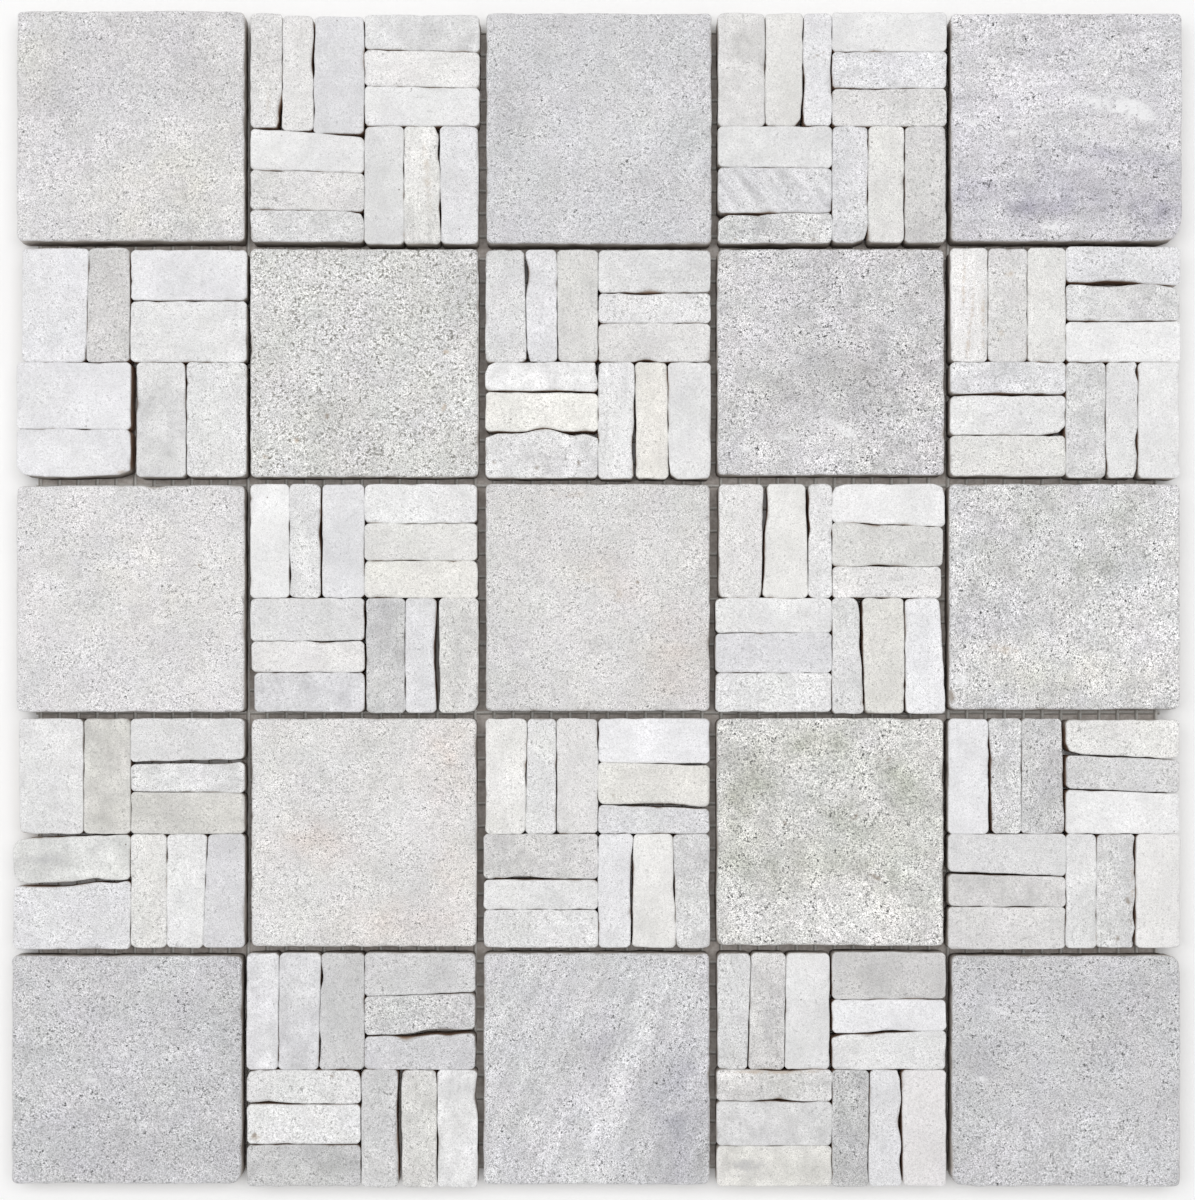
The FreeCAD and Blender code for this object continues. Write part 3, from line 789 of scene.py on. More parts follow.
squareTiles = {
    "square_tile_r1c1": {
        "words": "light sugary rosy",
        "turn": 40,
        "marks": [
            ("lilac", -0.4, 0.25, 0.02, 0.009, 50, 0.28),
            ("shade", -0.55, 0.1, 0.01, 0.004, -60, 0.35),
            ("shade", -0.3, -0.35, 0.007, 0.004, 0, 0.3),
            ("shade", 0.65, 0.6, 0.012, 0.004, -35, 0.28),
            ("shade", 0.05, 0.9, 0.01, 0.0025, 0, 0.25),
            ("ivory", 0.4, -0.5, 0.022, 0.013, 30, 1.0),
            ("ivory", -0.85, 0.5, 0.012, 0.006, 80, 0.8),
        ],
    },
    "square_tile_r1c3": {
        "words": "mid cool sugary",
        "turn": 0,
        "marks": [
            ("shade", -0.7, 0.35, 0.012, 0.008, 80, 0.2),
            ("glow", 0.1, -0.85, 0.02, 0.004, 0, 0.2),
            ("light", 0.86, -0.3, 0.004, 0.0014, 50, 0.8),
        ],
    },
    "square_tile_r1c5": {
        "words": "light lilac coarse streaked",
        "turn": 5,
        "marks": [
            ("light", 0.39, 0.16, 0.012, 0.0018, -18, 0.9),
            ("light", 0.6, 0.17, 0.006, 0.0018, -25, 1.1),
            ("light", -0.79, 0.03, 0.003, 0.0012, 0, 0.9),
            ("light", -0.43, -0.06, 0.004, 0.001, 5, 0.9),
            ("light", 0.19, -0.06, 0.0012, 0.0011, 0, 0.8),
            ("light", -0.62, 0.56, 0.0025, 0.001, -15, 0.7),
            ("light", 0.68, 0.77, 0.0016, 0.0009, 0, 0.7),
            ("lilac", -0.41, -0.66, 0.02, 0.0032, -6, 0.9),
            ("lilac", 0.77, -0.75, 0.012, 0.004, -8, 0.9),
            ("lilac", 0.55, -0.3, 0.02, 0.0026, -8, 0.6),
            ("lilac", 0.1, -0.6, 0.05, 0.011, -4, 0.6),
            ("light", -0.1, -0.89, 0.0035, 0.0014, 0, 1.0),
        ],
    },
    "square_tile_r2c2": {
        "words": "light green speckled rosy",
        "turn": 0,
        "marks": [
            ("shade", -0.33, -0.45, 0.006, 0.005, 0, 0.4),
            ("score", -0.33, -0.47, 0.0009, 0.0007, 0, 1.2),
            ("stain", 0.7, -0.4, 0.0012, 0.0006, 70, 1.2),
            ("stain", 0.72, 0.1, 0.0007, 0.0006, 0, 1.2),
            ("stain", -0.6, -0.68, 0.0008, 0.0006, 0, 1.2),
            ("stain", -0.88, -0.83, 0.0008, 0.0006, 0, 1.2),
        ],
    },
    "square_tile_r2c4": {
        "words": "mid warm crystalline mottled cool",
        "turn": 20,
        "marks": [
            ("shade", 0.3, -0.12, 0.02, 0.009, 10, 0.65),
            ("shade", -0.35, -0.28, 0.014, 0.006, 20, 0.55),
            ("lilac", 0.1, 0.6, 0.02, 0.008, 0, 0.2),
            ("glow", -0.3, -0.8, 0.024, 0.005, 6, 0.8),
            ("glow", -0.7, 0.6, 0.008, 0.006, 40, 0.35),
            ("light", -0.41, -0.66, 0.004, 0.0014, 0, 0.9),
            ("light", 0.09, -0.6, 0.008, 0.0016, -25, 0.9),
            ("light", 0.68, -0.87, 0.0022, 0.001, 0, 0.9),
            ("light", -0.75, -0.77, 0.0022, 0.0014, 0, 0.8),
        ],
    },
    "square_tile_r3c1": {
        "words": "pale sugary rosy",
        "turn": 10,
        "marks": [
            ("ivory", 0.2, 0.1, 0.03, 0.02, 0, 0.7),
            ("shade", 0.34, 0.81, 0.006, 0.002, 0, 0.35),
            ("shade", -0.03, 0.52, 0.009, 0.0025, -10, 0.35),
            ("shade", 0.22, -0.01, 0.006, 0.003, 30, 0.35),
            ("lilac", -0.5, -0.6, 0.014, 0.006, 0, 0.2),
            ("score", 0.6, 0.3, 0.0003, 0.0003, 0, 1.5),
        ],
    },
    "square_tile_r3c3": {
        "words": "light warm sugary",
        "turn": 30,
        "marks": [
            ("stain", -0.29, 0.91, 0.012, 0.0014, 0, 0.45),
            ("stain", -0.12, 0.18, 0.003, 0.0014, -35, 0.5),
            ("stain", 0.18, 0.03, 0.0032, 0.0014, 80, 0.6),
            ("rosy", 0.1, 0.15, 0.012, 0.005, -30, 0.5),
            ("rosy", 0.72, -0.55, 0.01, 0.01, 0, 0.9),
            ("lilac", -0.8, -0.6, 0.012, 0.012, 0, 0.22),
            ("score", 0.35, 0.14, 0.0004, 0.0004, 0, 1.6),
            ("score", -0.2, 0.14, 0.0004, 0.0004, 0, 0.9),
        ],
    },
    "square_tile_r3c5": {
        "words": "light green crystalline mottled rosy cool",
        "turn": 70,
        "marks": [
            ("green", -0.24, 0.75, 0.009, 0.005, 60, 0.6),
            ("green", -0.66, 0.41, 0.006, 0.005, 0, 0.6),
            ("green", 0.43, 0.71, 0.01, 0.005, 0, 0.6),
            ("green", 0.35, 0.29, 0.014, 0.005, 10, 0.6),
            ("lilac", -0.78, -0.27, 0.007, 0.006, 0, 0.4),
            ("ivory", 0.1, -0.7, 0.03, 0.008, 0, 1.0),
            ("glow", 0.2, -0.65, 0.03, 0.006, 0, 0.45),
            ("stain", -0.53, -0.47, 0.005, 0.0014, -10, 0.7),
            ("light", -0.91, -0.73, 0.003, 0.002, 0, 0.9),
            ("glow", 0.8, -0.6, 0.006, 0.006, 0, 0.5),
            ("score", -0.99, -0.9, 0.0022, 0.0005, 90, 1.6),
        ],
    },
    "square_tile_r4c2": {
        "words": "pale warm sugary",
        "turn": 0,
        "marks": [
            ("rosy", -0.41, -0.09, 0.01, 0.005, -10, 1.0),
            ("shade", -0.41, -0.09, 0.006, 0.0025, -10, 0.25),
            ("rosy", 0.76, 0.7, 0.006, 0.012, 0, 1.0),
            ("rosy", 0.43, -0.8, 0.018, 0.006, 0, 0.8),
            ("rosy", 0.85, -0.4, 0.005, 0.008, 0, 0.9),
            ("shade", 0.1, 0.45, 0.007, 0.004, 30, 0.22),
            ("shade", -0.15, 0.85, 0.014, 0.003, 0, 0.2),
        ],
    },
    "square_tile_r4c4": {
        "words": "light ivory crystalline mottled",
        "turn": 0,
        "marks": [
            ("green", -0.75, 0.3, 0.008, 0.016, 0, 0.9),
            ("green", -0.1, 0.76, 0.015, 0.005, 0, 0.9),
            ("green", 0.65, 0.45, 0.01, 0.005, -35, 0.9),
            ("green", 0.1, 0.12, 0.01, 0.004, -30, 0.8),
            ("green", -0.4, -0.28, 0.015, 0.006, 10, 0.85),
            ("green", 0.4, -0.35, 0.01, 0.004, -25, 0.9),
            ("green", 0.75, -0.1, 0.006, 0.006, 0, 0.5),
            ("glow", 0.45, 0.88, 0.008, 0.003, -15, 0.6),
            ("glow", 0.1, -0.8, 0.035, 0.007, 3, 0.6),
            ("score", 0.4, -0.4, 0.0028, 0.0005, -25, 1.1),
            ("score", 0.22, 0.14, 0.0018, 0.0005, 40, 1.1),
            ("score", 0.52, 0.64, 0.0006, 0.0005, 0, 1.2),
            ("score", -0.4, 0.08, 0.0006, 0.0005, 0, 1.2),
        ],
    },
    "square_tile_r5c1": {
        "words": "grey cool coarse",
        "turn": 0,
        "marks": [
            ("glow", -0.7, 0.8, 0.012, 0.006, 0, 0.35),
            ("lilac", 0.0, -0.75, 0.02, 0.006, 0, 0.22),
            ("shade", 0.4, 0.1, 0.016, 0.008, 20, 0.12),
            ("light", -0.03, 0.13, 0.0016, 0.0012, 0, 0.8),
            ("light", -0.3, -0.1, 0.0035, 0.0011, -10, 0.8),
            ("light", 0.15, -0.5, 0.0012, 0.001, 0, 0.8),
            ("light", -0.2, 0.7, 0.002, 0.001, 0, 0.6),
        ],
    },
    "square_tile_r5c3": {
        "words": "mid cool coarse streaked",
        "turn": 66,
        "marks": [
            ("glow", 0.25, 0.0, 0.026, 0.0036, 68, 1.2),
            ("light", 0.17, -0.3, 0.009, 0.0013, 66, 0.7),
            ("light", 0.38, 0.75, 0.005, 0.0012, 75, 0.6),
            ("light", -0.05, -0.6, 0.003, 0.0016, 60, 0.7),
            ("lilac", 0.68, -0.1, 0.012, 0.006, 70, 0.6),
            ("lilac", 0.75, -0.6, 0.014, 0.007, 80, 0.8),
            ("lilac", 0.0, 0.24, 0.008, 0.003, 70, 0.5),
            ("shade", 0.1, 0.85, 0.007, 0.003, 80, 0.5),
            ("shade", 0.95, -0.75, 0.008, 0.003, 80, 0.7),
        ],
    },
    "square_tile_r5c5": {
        "words": "grey coarse cool",
        "turn": 0,
        "marks": [
            ("shade", -0.75, 0.18, 0.008, 0.006, 0, 0.5),
            ("shade", 0.0, 0.85, 0.02, 0.004, 0, 0.2),
            ("light", -0.58, 0.52, 0.006, 0.0008, -20, 0.7),
            ("light", -0.75, -0.07, 0.002, 0.001, 0, 0.9),
            ("glow", 0.75, -0.7, 0.01, 0.004, 10, 0.45),
            ("glow", -0.1, 0.4, 0.012, 0.004, 0, 0.25),
        ],
    },
}

for index, (node, tile) in enumerate(squareTiles.items()):
    outline = stoneOutlines(node)[0]
    painted = (tile["words"], tile["marks"], [], tile["turn"], 100 + index)
    stone = paintedStone(outline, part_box(node), "squareEdge", *painted)
    piece = joinedPiece("stone_" + node, [stone])
    piece.data.materials.append(stoneFinish)
    settle(piece, "stone", node)
print("square tiles made:", len(squareTiles))


# basket-weave blocks: upright bars left to right, level bars top down

barBlocks = {
    "bar_block_r1c2": {
        "topLeft": ["pale warm grainy", "offWhite warm", "pale cool silky"],
        "topRight": ["pale cloudy", "white warm", "white silky"],
        "bottomLeft": ["white silky", "pale warm grainy", "light mottled"],
        "bottomRight": ["pale silky", "offWhite ivory streaked", "offWhite cool"],
    },
    "bar_block_r1c4": {
        "topLeft": ["pale warm cloudy", "offWhite ivory silky", "white cool"],
        "topRight": ["white silky", "offWhite cool mottled", "pale warm grainy"],
        "bottomLeft": ["offWhite silky", "light cool sawn", "light coarse mottled"],
        "bottomRight": ["pale cool mottled", "offWhite ivory", "mid warm grainy"],
    },
    "bar_block_r2c1": {
        "topLeft": ["white cool", "mid warm grainy"],
        "topRight": ["white cool silky", "white"],
        "bottomLeft": ["white cool silky", "white cool silky"],
        "bottomRight": ["pale cloudy", "offWhite grainy"],
    },
    "bar_block_r2c3": {
        "topLeft": ["pale grainy", "offWhite cool", "light ivory"],
        "topRight": ["pale", "offWhite grainy", "pale warm"],
        "bottomLeft": ["bright cloudy", "bright cream", "offWhite mottled"],
        "bottomRight": ["white streaked", "white peach", "offWhite silky"],
    },
    "bar_block_r2c5": {
        "topLeft": ["white warm streaked", "pale warm grainy", "offWhite ivory"],
        "topRight": ["offWhite cool grainy", "pale mottled", "bright silky"],
        "bottomLeft": ["offWhite cool mottled", "white", "offWhite ivory grainy"],
        "bottomRight": ["light mottled", "offWhite", "white silky"],
    },
    "bar_block_r3c2": {
        "topLeft": ["bright silky", "offWhite mottled", "offWhite cool silky"],
        "topRight": ["white", "offWhite ivory", "white cream"],
        "bottomLeft": ["pale", "offWhite warm", "light cool cloudy"],
        "bottomRight": ["grey mottled", "offWhite cool", "light ivory mottled"],
    },
    "bar_block_r3c4": {
        "topLeft": ["offWhite warm grainy", "white ivory silky", "white grainy"],
        "topRight": ["bright silky", "light ivory", "white warm grainy"],
        "bottomLeft": ["white", "pale cool", "white grainy"],
        "bottomRight": ["pale grainy", "pale cream", "bright cool"],
    },
    "bar_block_r4c1": {
        "topLeft": ["offWhite", "mid cream cloudy"],
        "topRight": ["pale", "offWhite mottled", "mid cream"],
        "bottomLeft": ["pale green cloudy", "offWhite cool grainy"],
        "bottomRight": ["offWhite ivory grainy", "white", "light cool"],
    },
    "bar_block_r4c3": {
        "topLeft": ["white ivory", "offWhite grainy", "pale warm"],
        "topRight": ["bright cool silky", "offWhite cream", "pale cool grainy"],
        "bottomLeft": ["mid warm mottled", "offWhite", "offWhite grainy"],
        "bottomRight": ["white cool", "white ivory silky", "light mottled"],
    },
    "bar_block_r4c5": {
        "topLeft": ["white cool silky", "light coarse mottled", "grey coarse mottled"],
        "topRight": ["white ivory grainy", "light grainy", "bright silky"],
        "bottomLeft": ["pale", "mid warm cloudy", "light warm"],
        "bottomRight": ["offWhite", "light mottled", "white warm silky"],
    },
    "bar_block_r5c2": {
        "topLeft": ["offWhite cool cloudy", "light cool cloudy", "grey"],
        "topRight": ["mid grainy", "mid coarse mottled", "mid cool grainy"],
        "bottomLeft": ["offWhite grainy", "white grainy", "dark mottled"],
        "bottomRight": ["mid grainy", "light ivory mottled", "white cloudy"],
    },
    "bar_block_r5c4": {
        "topLeft": ["light grainy", "mid warm mottled", "offWhite silky"],
        "topRight": ["grey warm", "bright cool silky", "offWhite"],
        "bottomLeft": ["light warm streaked mottled", "light cloudy", "pale cream cloudy"],
        "bottomRight": ["dark coarse mottled", "offWhite cool", "offWhite pink silky"],
    },
}

barMarks = {  # by block, quarter and number, counted from 0
    ("bar_block_r1c2", "topLeft", 0): [
        ("stain", 0.05, -0.5, 0.005, 0.0009, 88, 0.6),
        ("stain", 0.8, -0.8, 0.0035, 0.0009, 80, 1.0),
    ],
    ("bar_block_r1c2", "topLeft", 1): [("dark", 0.1, 0.1, 0.006, 0.0008, 80, 0.5)],
    ("bar_block_r1c2", "bottomRight", 1): [("stain", 0.2, 0.1, 0.011, 0.0012, 95, 0.7)],
    ("bar_block_r1c4", "topLeft", 2): [("score", 0.0, 0.25, 0.0026, 0.00028, 25, 0.9)],
    ("bar_block_r1c4", "bottomLeft", 2): [
        ("dark", -0.3, -0.1, 0.006, 0.0022, 8, 0.8),
        ("score", -0.7, -0.8, 0.0008, 0.0006, 0, 1.1),
        ("score", 0.68, -0.8, 0.0009, 0.0006, 0, 1.0),
    ],
    ("bar_block_r2c1", "bottomLeft", 1): [("stain", 0.9, -0.7, 0.0016, 0.001, 0, 0.9)],
    ("bar_block_r2c3", "bottomLeft", 2): [
        ("score", 0.65, -0.55, 0.0008, 0.0006, 60, 1.1),
        ("score", -0.1, -0.72, 0.0009, 0.0006, 60, 0.9),
        ("score", -0.85, -0.5, 0.0007, 0.0006, 60, 0.9),
        ("dark", 0.0, -0.2, 0.006, 0.0014, 0, 0.5),
    ],
    ("bar_block_r2c5", "topLeft", 0): [
        ("stain", -0.3, 0.35, 0.009, 0.0005, 88, 0.9),
        ("stain", 0.15, -0.1, 0.009, 0.0004, 86, 0.8),
        ("stain", 0.75, -0.2, 0.01, 0.0006, 90, 0.9),
        ("stain", -0.1, -0.7, 0.005, 0.0005, 88, 0.8),
    ],
    ("bar_block_r2c5", "topLeft", 1): [
        ("stain", 0.1, 0.55, 0.0014, 0.0009, 10, 0.8),
        ("stain", -0.3, -0.5, 0.0012, 0.001, 10, 1.0),
    ],
    ("bar_block_r4c1", "bottomLeft", 0): [("dark", -0.3, 0.0, 0.008, 0.0022, 0, 0.6)],
    ("bar_block_r4c3", "topRight", 1): [("score", -0.75, -0.5, 0.003, 0.00025, -35, 0.9)],
    ("bar_block_r4c5", "bottomRight", 1): [
        ("score", 0.7, -0.15, 0.0014, 0.0007, 80, 1.2),
        ("score", 0.1, -0.82, 0.0012, 0.0009, 60, 1.2),
        ("score", 0.75, -0.55, 0.001, 0.0006, 80, 1.0),
        ("stain", 0.85, 0.1, 0.006, 0.0006, 90, 0.8),
    ],
    ("bar_block_r5c2", "bottomLeft", 0): [("score", 0.5, 0.55, 0.0008, 0.0006, 20, 1.0)],
    ("bar_block_r5c2", "bottomLeft", 1): [
        ("score", -0.88, -0.55, 0.0009, 0.0007, 30, 1.0),
        ("stain", -0.85, -0.7, 0.0016, 0.0009, 0, 0.8),
    ],
    ("bar_block_r5c4", "bottomLeft", 0): [("stain", 0.0, 0.92, 0.012, 0.0006, 0, 1.1)],
    ("bar_block_r5c4", "bottomLeft", 2): [("dark", -0.5, 0.0, 0.006, 0.003, 0, 0.8)],
    ("bar_block_r5c4", "topLeft", 1): [("dark", 0.0, -0.3, 0.007, 0.0018, 90, 0.6)],
}

barTurns = {("bar_block_r1c4", "bottomLeft", 1): -52}  # its saw marks cross it

# breaks: the side, its place as a share of the half length, its depth (bumps are below 0) and half width
barBreaks = {
    ("bar_block_r1c2", "topLeft", 0): [("right", -0.75, 0.0007, 0.003)],
    ("bar_block_r1c2", "topLeft", 1): [("right", 0.2, 0.0005, 0.0035)],
    ("bar_block_r1c2", "topLeft", 2): [("left", -0.6, 0.0003, 0.003)],
    ("bar_block_r1c2", "bottomRight", 1): [("right", 0.55, 0.0005, 0.003), ("right", -0.5, 0.0003, 0.004)],
    ("bar_block_r1c4", "topLeft", 2): [("left", -0.3, 0.0004, 0.004), ("right", -0.1, 0.0003, 0.005)],
    ("bar_block_r1c4", "bottomLeft", 2): [("top", -0.3, 0.0004, 0.005)],
    ("bar_block_r2c3", "topLeft", 1): [("left", 0.6, 0.0007, 0.0035), ("left", -0.95, 0.0005, 0.002)],
    ("bar_block_r2c3", "topRight", 1): [("top", -0.2, 0.0004, 0.004)],
    ("bar_block_r2c3", "topRight", 2): [("bottom", -0.15, 0.0007, 0.0022)],
    ("bar_block_r2c3", "bottomLeft", 0): [("right", 0.6, 0.0006, 0.0025), ("bottom", 0.3, 0.0003, 0.006)],
    ("bar_block_r2c3", "bottomLeft", 1): [("bottom", 0.05, 0.0009, 0.0035), ("bottom", 0.8, 0.0004, 0.003)],
    ("bar_block_r2c3", "bottomLeft", 2): [("top", 0.05, -0.0011, 0.0035), ("top", 0.55, 0.0004, 0.002)],
    ("bar_block_r2c3", "bottomRight", 0): [("right", -0.5, 0.0006, 0.006)],
    ("bar_block_r2c5", "topRight", 0): [("bottom", -0.1, 0.0007, 0.006)],
    ("bar_block_r2c5", "topRight", 1): [("top", 0.45, -0.0005, 0.005), ("top", -0.3, 0.0004, 0.005)],
    ("bar_block_r2c5", "bottomLeft", 0): [("bottom", 0.0, 0.0004, 0.012)],
    ("bar_block_r2c5", "bottomRight", 1): [
        ("right", 0.85, 0.0007, 0.0016),
        ("right", -0.35, 0.0006, 0.0022),
        ("left", -0.85, 0.0005, 0.003),
    ],
    ("bar_block_r3c2", "topLeft", 1): [("right", 0.2, 0.0004, 0.003), ("left", -0.6, 0.0003, 0.003)],
    ("bar_block_r3c2", "bottomLeft", 1): [("top", 0.3, 0.0003, 0.004)],
    ("bar_block_r3c2", "bottomRight", 1): [("right", 0.1, 0.0006, 0.008)],
    ("bar_block_r3c4", "topLeft", 1): [("left", 0.6, 0.0007, 0.005), ("left", -0.4, 0.0003, 0.004)],
    ("bar_block_r3c4", "topLeft", 2): [("left", 0.2, 0.0004, 0.002)],
    ("bar_block_r3c4", "topRight", 1): [("bottom", -0.2, 0.0004, 0.003)],
    ("bar_block_r3c4", "bottomRight", 0): [("right", 0.2, 0.0004, 0.004)],
    ("bar_block_r4c1", "bottomLeft", 0): [("bottom", 0.35, 0.0005, 0.004)],
    ("bar_block_r4c1", "bottomLeft", 1): [("top", -0.2, 0.0006, 0.006), ("top", 0.7, 0.0004, 0.002)],
    ("bar_block_r4c1", "topRight", 1): [("top", 0.5, 0.0004, 0.004)],
    ("bar_block_r4c3", "topRight", 1): [("bottom", 0.1, 0.0006, 0.008), ("top", 0.7, 0.0003, 0.004)],
    ("bar_block_r4c3", "bottomLeft", 0): [("bottom", -0.3, 0.0005, 0.004)],
    ("bar_block_r4c3", "bottomRight", 0): [("right", 0.2, 0.0005, 0.008)],
    ("bar_block_r4c3", "bottomRight", 1): [("right", 0.0, 0.0003, 0.003)],
    ("bar_block_r4c5", "topLeft", 1): [("left", 0.3, 0.0004, 0.006)],
    ("bar_block_r4c5", "bottomRight", 1): [
        ("right", 0.7, 0.0005, 0.003),
        ("right", -0.4, 0.0006, 0.003),
        ("right", -0.85, 0.0006, 0.002),
    ],
    ("bar_block_r5c2", "topLeft", 2): [("left", 0.6, 0.0006, 0.003), ("left", -0.7, 0.0005, 0.004)],
    ("bar_block_r5c2", "topRight", 1): [("bottom", -0.25, -0.0003, 0.003), ("bottom", 0.25, 0.0006, 0.004)],
    ("bar_block_r5c2", "topRight", 2): [("top", -0.2, 0.0006, 0.004), ("top", 0.5, 0.0003, 0.002)],
    ("bar_block_r5c2", "bottomLeft", 0): [("bottom", -0.6, 0.0005, 0.006)],
    ("bar_block_r5c2", "bottomRight", 0): [("right", 0.2, 0.0005, 0.01)],
    ("bar_block_r5c2", "bottomRight", 2): [("right", 0.6, 0.0007, 0.004)],
    ("bar_block_r5c4", "topRight", 1): [("bottom", 0.0, 0.0004, 0.004)],
    ("bar_block_r5c4", "topRight", 2): [("top", -0.3, 0.0004, 0.003)],
    ("bar_block_r5c4", "bottomLeft", 0): [("bottom", 0.0, 0.0003, 0.004), ("top", 0.1, 0.0004, 0.005)],
    ("bar_block_r5c4", "bottomLeft", 1): [("top", 0.4, 0.0003, 0.004)],
    ("bar_block_r5c4", "bottomRight", 1): [("right", 0.1, 0.0006, 0.004), ("right", -0.6, 0.0004, 0.003)],
}


def quarterOf(outline, middle):
    x, y = outline.mean(axis=0) - middle
    return ("top" if y > 0 else "bottom") + ("Right" if x > 0 else "Left")


for index, (node, quarters) in enumerate(barBlocks.items()):
    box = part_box(node)
    middle = np.array([(box[0].x + box[1].x) / 2, (box[0].y + box[1].y) / 2])
    outlines = stoneOutlines(node)
    stones = []
    for name, words in quarters.items():
        upright = name in ("topLeft", "bottomRight")
        group = [outline for outline in outlines if quarterOf(outline, middle) == name]
        group.sort(key=lambda outline: outline[:, 0].mean() if upright else -outline[:, 1].mean())
        for place, (outline, word) in enumerate(zip(group, words, strict=True)):
            bar = (node, name, place)
            marks, breaks = barMarks.get(bar, []), barBreaks.get(bar, [])
            turn = barTurns.get(bar, 90 if upright else 0)
            seed = 1000 + index * 50 + len(stones)
            stones.append(paintedStone(outline, box, "barEdge", word, marks, breaks, turn, seed))
    piece = joinedPiece("stone_" + node, stones)
    piece.data.materials.append(stoneFinish)
    settle(piece, "stone", node)
print("bar blocks made:", len(barBlocks))


# backing mesh: plain-woven glass-fibre yarn, in four quarters that meet under the middle stones

scrim = {
    "stepsPerCrossing": 3,
    "section": 6,  # sides of a yarn
    "weave": 0.00006,  # how far a yarn rises and dips
    "slack": 0.00002,  # how much flatter it is than its box
    "drift": 0.00012,
    "driftSize": 0.02,
    "swell": 0.12,
    "swellSize": 0.004,
    "yarnColour": shown(244, 242, 237),
    "bindColour": shown(176, 171, 164),
    "threadSize": 0.0004,
    "bindSize": 0.006,
    "roughness": 0.55,
    "threadDepth": 0.00005,
}


def yarnMaterial(look):
    material, tree, shader = newMaterial("coatedGlassYarn")
    place = tree.node("TexCoord", {}, {}, "Object")
    threads = noise(tree, place, look["threadSize"], 3.0, 0.6)
    patches = noise(tree, place, look["bindSize"], 2.0, 0.5)
    strand = attribute(tree, "strand", "Fac")
    clean = step(tree, strand + threads * 0.4 + patches * 0.4, 0.75, 1.1)
    blend(tree, clean, look["bindColour"], look["yarnColour"]).feed(shader["Base Color"])
    relief(tree, threads, 0.5, look["threadDepth"]).feed(shader["Normal"])
    shader["Roughness"].default_value = look["roughness"]
    return material


def yarnBoxes(node, axis):  # for each yarn in order: its two sides, its two ends, its foot and its top
    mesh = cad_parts[node].data
    corners = np.array([vertex.co for vertex in mesh.vertices])
    sides = np.unique(np.round(corners[:, 1 - axis], 6))
    low, high = corners.min(axis=0), corners.max(axis=0)
    return [
        (start, end, low[axis], high[axis], low[2], high[2]) for start, end in zip(sides[::2], sides[1::2])
    ]


def halfYarn(box, places, beyond):  # the part of a yarn on one side of the sheet's middle
    start, end, first, last, low, high = box
    if beyond:
        return (start, end, 0.0, last, low, high), [place for place in places if place > 0.0]
    return (start, end, first, 0.0, low, high), [place for place in places if place <= 0.0]


def yarnTube(box, axis, crossings, side, look, seed):
    start, end, first, last, low, high = box
    section = look["section"]
    count = max(int(len(crossings) * look["stepsPerCrossing"]), 4)
    along = np.linspace(first, last, count + 1)
    middle, height = (start + end) / 2, (low + high) / 2
    halfWide, halfHigh = (end - start) / 2, (high - low) / 2
    pitch = crossings[1] - crossings[0]
    sway = np.cos(np.pi * (along - crossings[0]) / pitch) * look["weave"] * side
    trail = np.column_stack([along, np.full(count + 1, middle), np.full(count + 1, height)])
    drift = waves(trail, look["driftSize"], seed) * look["drift"]
    swell = 1 + look["swell"] * waves(trail, look["swellSize"], seed + 3)
    points, strand = [], []
    for corner in range(section):
        turn = (corner * 2 + 1) * math.pi / section
        across = middle + drift + math.cos(turn) * halfWide * swell
        up = np.maximum(height + sway + math.sin(turn) * (halfHigh - look["slack"]), 0.0)
        points.append(np.column_stack([along, across, up] if axis == 0 else [across, along, up]))
        strand.append(0.5 + 0.5 * math.cos(turn))
    points = np.stack(points, axis=1).reshape(-1, 3)
    faces = []
    for base in range(0, count * section, section):
        for corner in range(section):
            a = base + corner
            b = base + (corner + 1) % section
            faces.append([a, b, b + section, a + section])
    faces.append(list(range(section))[::-1])
    faces.append(list(range(count * section, (count + 1) * section)))
    if axis == 0:  # the tube's sides face the other way
        faces = [face[::-1] for face in faces]
    return points, faces, {"strand": np.tile(strand, count + 1)[:, None]}


film = {  # adhesive that spread over the floor side of the joints, its grey partly a painted shade of the joint floor
    "height": 0.00006,
    "step": 0.0012,
    "halfWidth": 0.0025,  # how far it reaches under the stones
    "ragged": 0.0005,  # how far its sides wander
    "raggedSize": 0.003,
    "lumpDepth": 0.5,
    "lumpSize": 0.002,
    "lift": 0.00001,  # keeps one way's strips off the other's where they cross
    "colour": shown(236, 229, 223),
    "darkColour": shown(193, 183, 175),
    "roughness": 0.75,
    "grainSize": 0.0011,
    "patchSize": 0.005,
    "grainDepth": 0.0001,
}


def filmMaterial(look):
    material, tree, shader = newMaterial("adhesiveAndJointShade")
    place = tree.node("TexCoord", {}, {}, "Object")
    grain = noise(tree, place, look["grainSize"], 4.0, 0.6)
    patches = noise(tree, place, look["patchSize"], 2.0, 0.5)
    # its grey, darker than the floor, is adhesive and partly a painted shade of the joint floor
    clean = step(tree, grain * 0.6 + patches * 0.5, 0.4, 0.75)
    blend(tree, clean, look["darkColour"], look["colour"]).feed(shader["Base Color"])
    relief(tree, grain, 0.7, look["grainDepth"]).feed(shader["Normal"])
    shader["Roughness"].default_value = look["roughness"]
    return material


def jointLines(axis):  # where the joints between the rows or columns of stones run
    boxes = [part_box(node) for node in list(squareTiles) + list(barBlocks)]
    middles = sorted((box[0][axis] + box[1][axis]) / 2 for box in boxes)
    groups = np.array(middles).reshape(5, 5).mean(axis=1)
    return (groups[1:] + groups[:-1]) / 2


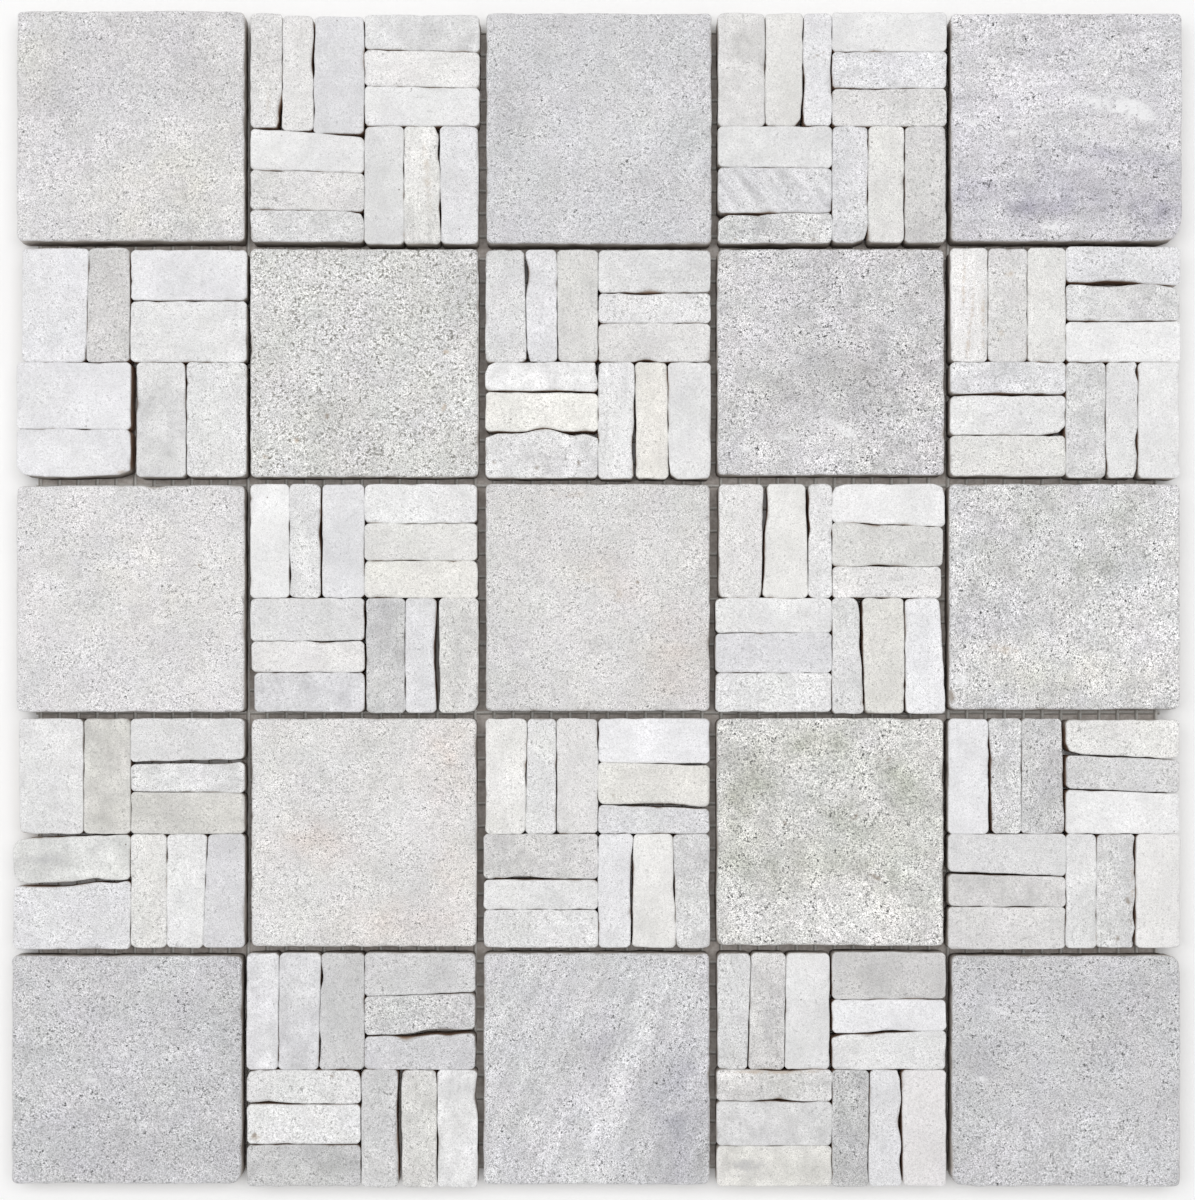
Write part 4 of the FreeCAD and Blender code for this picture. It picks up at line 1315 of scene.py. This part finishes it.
def filmStrip(middle, axis, first, last, look, seed):  # one ragged strip along a joint
    count = max(int((last - first) / look["step"]), 2)
    along = np.linspace(first, last, count + 1)
    trail = np.column_stack([along, np.full(count + 1, middle), np.zeros(count + 1)])
    rows = []
    for share in (-1.0, -0.4, 0.4, 1.0):
        row = trail + (0, share, 0)
        ragged = waves(row, look["raggedSize"], seed) * look["ragged"] * abs(share)
        across = middle + share * look["halfWidth"] + ragged
        height = look["height"] * (1 + look["lumpDepth"] * waves(row, look["lumpSize"], seed + 7))
        height += look["lift"] * axis
        rows.append(np.column_stack([along, across, height] if axis == 0 else [across, along, height]))
    points = np.vstack(rows)
    faces = []
    for row in range(3):
        for index in range(count):
            a = row * (count + 1) + index
            quad = [a, a + 1, a + count + 2, a + count + 1]
            faces.append(quad if axis == 0 else quad[::-1])
    return points, faces, {"strand": np.zeros((len(points), 1))}


yarnFinish = yarnMaterial(scrim)
filmFinish = filmMaterial(film)
yarns = [yarnBoxes("mesh_yarns_crosswise", 0), yarnBoxes("mesh_yarns_lengthwise", 1)]
yarnPlaces = [[(box[0] + box[1]) / 2 for box in row] for row in yarns]
filmPlaces = [jointLines(1), jointLines(0)]  # first those that run across the sheet


def scrimQuarter(name, rightSide, topSide):
    strips = []
    films = []
    for axis, (wantedSide, wantedHalf) in enumerate(((topSide, rightSide), (rightSide, topSide))):
        for number, box in enumerate(yarns[axis]):
            if (yarnPlaces[axis][number] > 0) == wantedSide:
                half, crossings = halfYarn(box, yarnPlaces[1 - axis], wantedHalf)
                side = 1 if number % 2 else -1
                strips.append(yarnTube(half, axis, crossings, side, scrim, number + 400 * axis))
        reach = (yarns[1 - axis][0][0], yarns[1 - axis][-1][1])
        first, last = (0.0, reach[1]) if wantedHalf else (reach[0], 0.0)
        for number, middle in enumerate(filmPlaces[axis]):
            if (middle > 0) == wantedSide:
                films.append(filmStrip(middle, axis, first, last, film, 70 + number))
    piece = joinedPiece(name, strips + films)
    piece.data.materials.append(yarnFinish)
    piece.data.materials.append(filmFinish)
    counts = [sum(len(faces) for _, faces, _ in group) for group in (strips, films)]
    piece.data.polygons.foreach_set("material_index", [0] * counts[0] + [1] * counts[1])
    settle(piece, "backing_mesh", "mesh_yarns_crosswise", "mesh_yarns_lengthwise")


for rightSide in (False, True):
    for topSide in (False, True):
        name = "backing_mesh_" + ("top" if topSide else "bottom") + "_" + ("right" if rightSide else "left")
        scrimQuarter(name, rightSide, topSide)
print("backing mesh made")


# floor and light

studio = {
    "floorSize": 4.0,
    "floorColour": shown(253, 253, 253),
    "floorRoughness": 0.9,
    "worldStrength": 0.5,
    "lampPower": 17.7,
    "lampSize": (1.9, 0.95),
    "lampPlace": (-0.12, 0.2, 1.7),
}


def makeFloor(look):
    half = look["floorSize"] / 2
    mesh = bpy.data.meshes.new("studioFloor")
    corners = [(-half, -half, 0), (half, -half, 0), (half, half, 0), (-half, half, 0)]
    mesh.from_pydata(corners, [], [(0, 1, 2, 3)])
    material, _, shader = newMaterial("studioFloor")
    shader["Base Color"].default_value = look["floorColour"]
    shader["Roughness"].default_value = look["floorRoughness"]
    shader["Specular IOR Level"].default_value = 0.0
    mesh.materials.append(material)
    placed("studioFloor", mesh)


def makeWorld(look):
    world = bpy.data.worlds.new("studioWorld")
    world.use_nodes = True
    background = world.node_tree.nodes["Background"]
    background.inputs["Color"].default_value = (1.0, 1.0, 1.0, 1.0)
    background.inputs["Strength"].default_value = look["worldStrength"]
    bpy.context.scene.world = world


def makeLamp(look):  # turned to face the middle of the sheet
    lamp = bpy.data.lights.new("softKey", "AREA")
    lamp.energy = look["lampPower"]
    lamp.shape = "RECTANGLE"
    lamp.size, lamp.size_y = look["lampSize"]
    key = placed("softKey", lamp)
    key.location = look["lampPlace"]
    tilt = math.atan2(key.location.y, key.location.z)
    lean = math.atan2(-key.location.x, key.location.z)
    key.rotation_euler = (-tilt, -lean, 0.0)


makeFloor(studio)
makeWorld(studio)
makeLamp(studio)
bpy.context.scene.view_settings.view_transform = "Standard"
print("studio made")
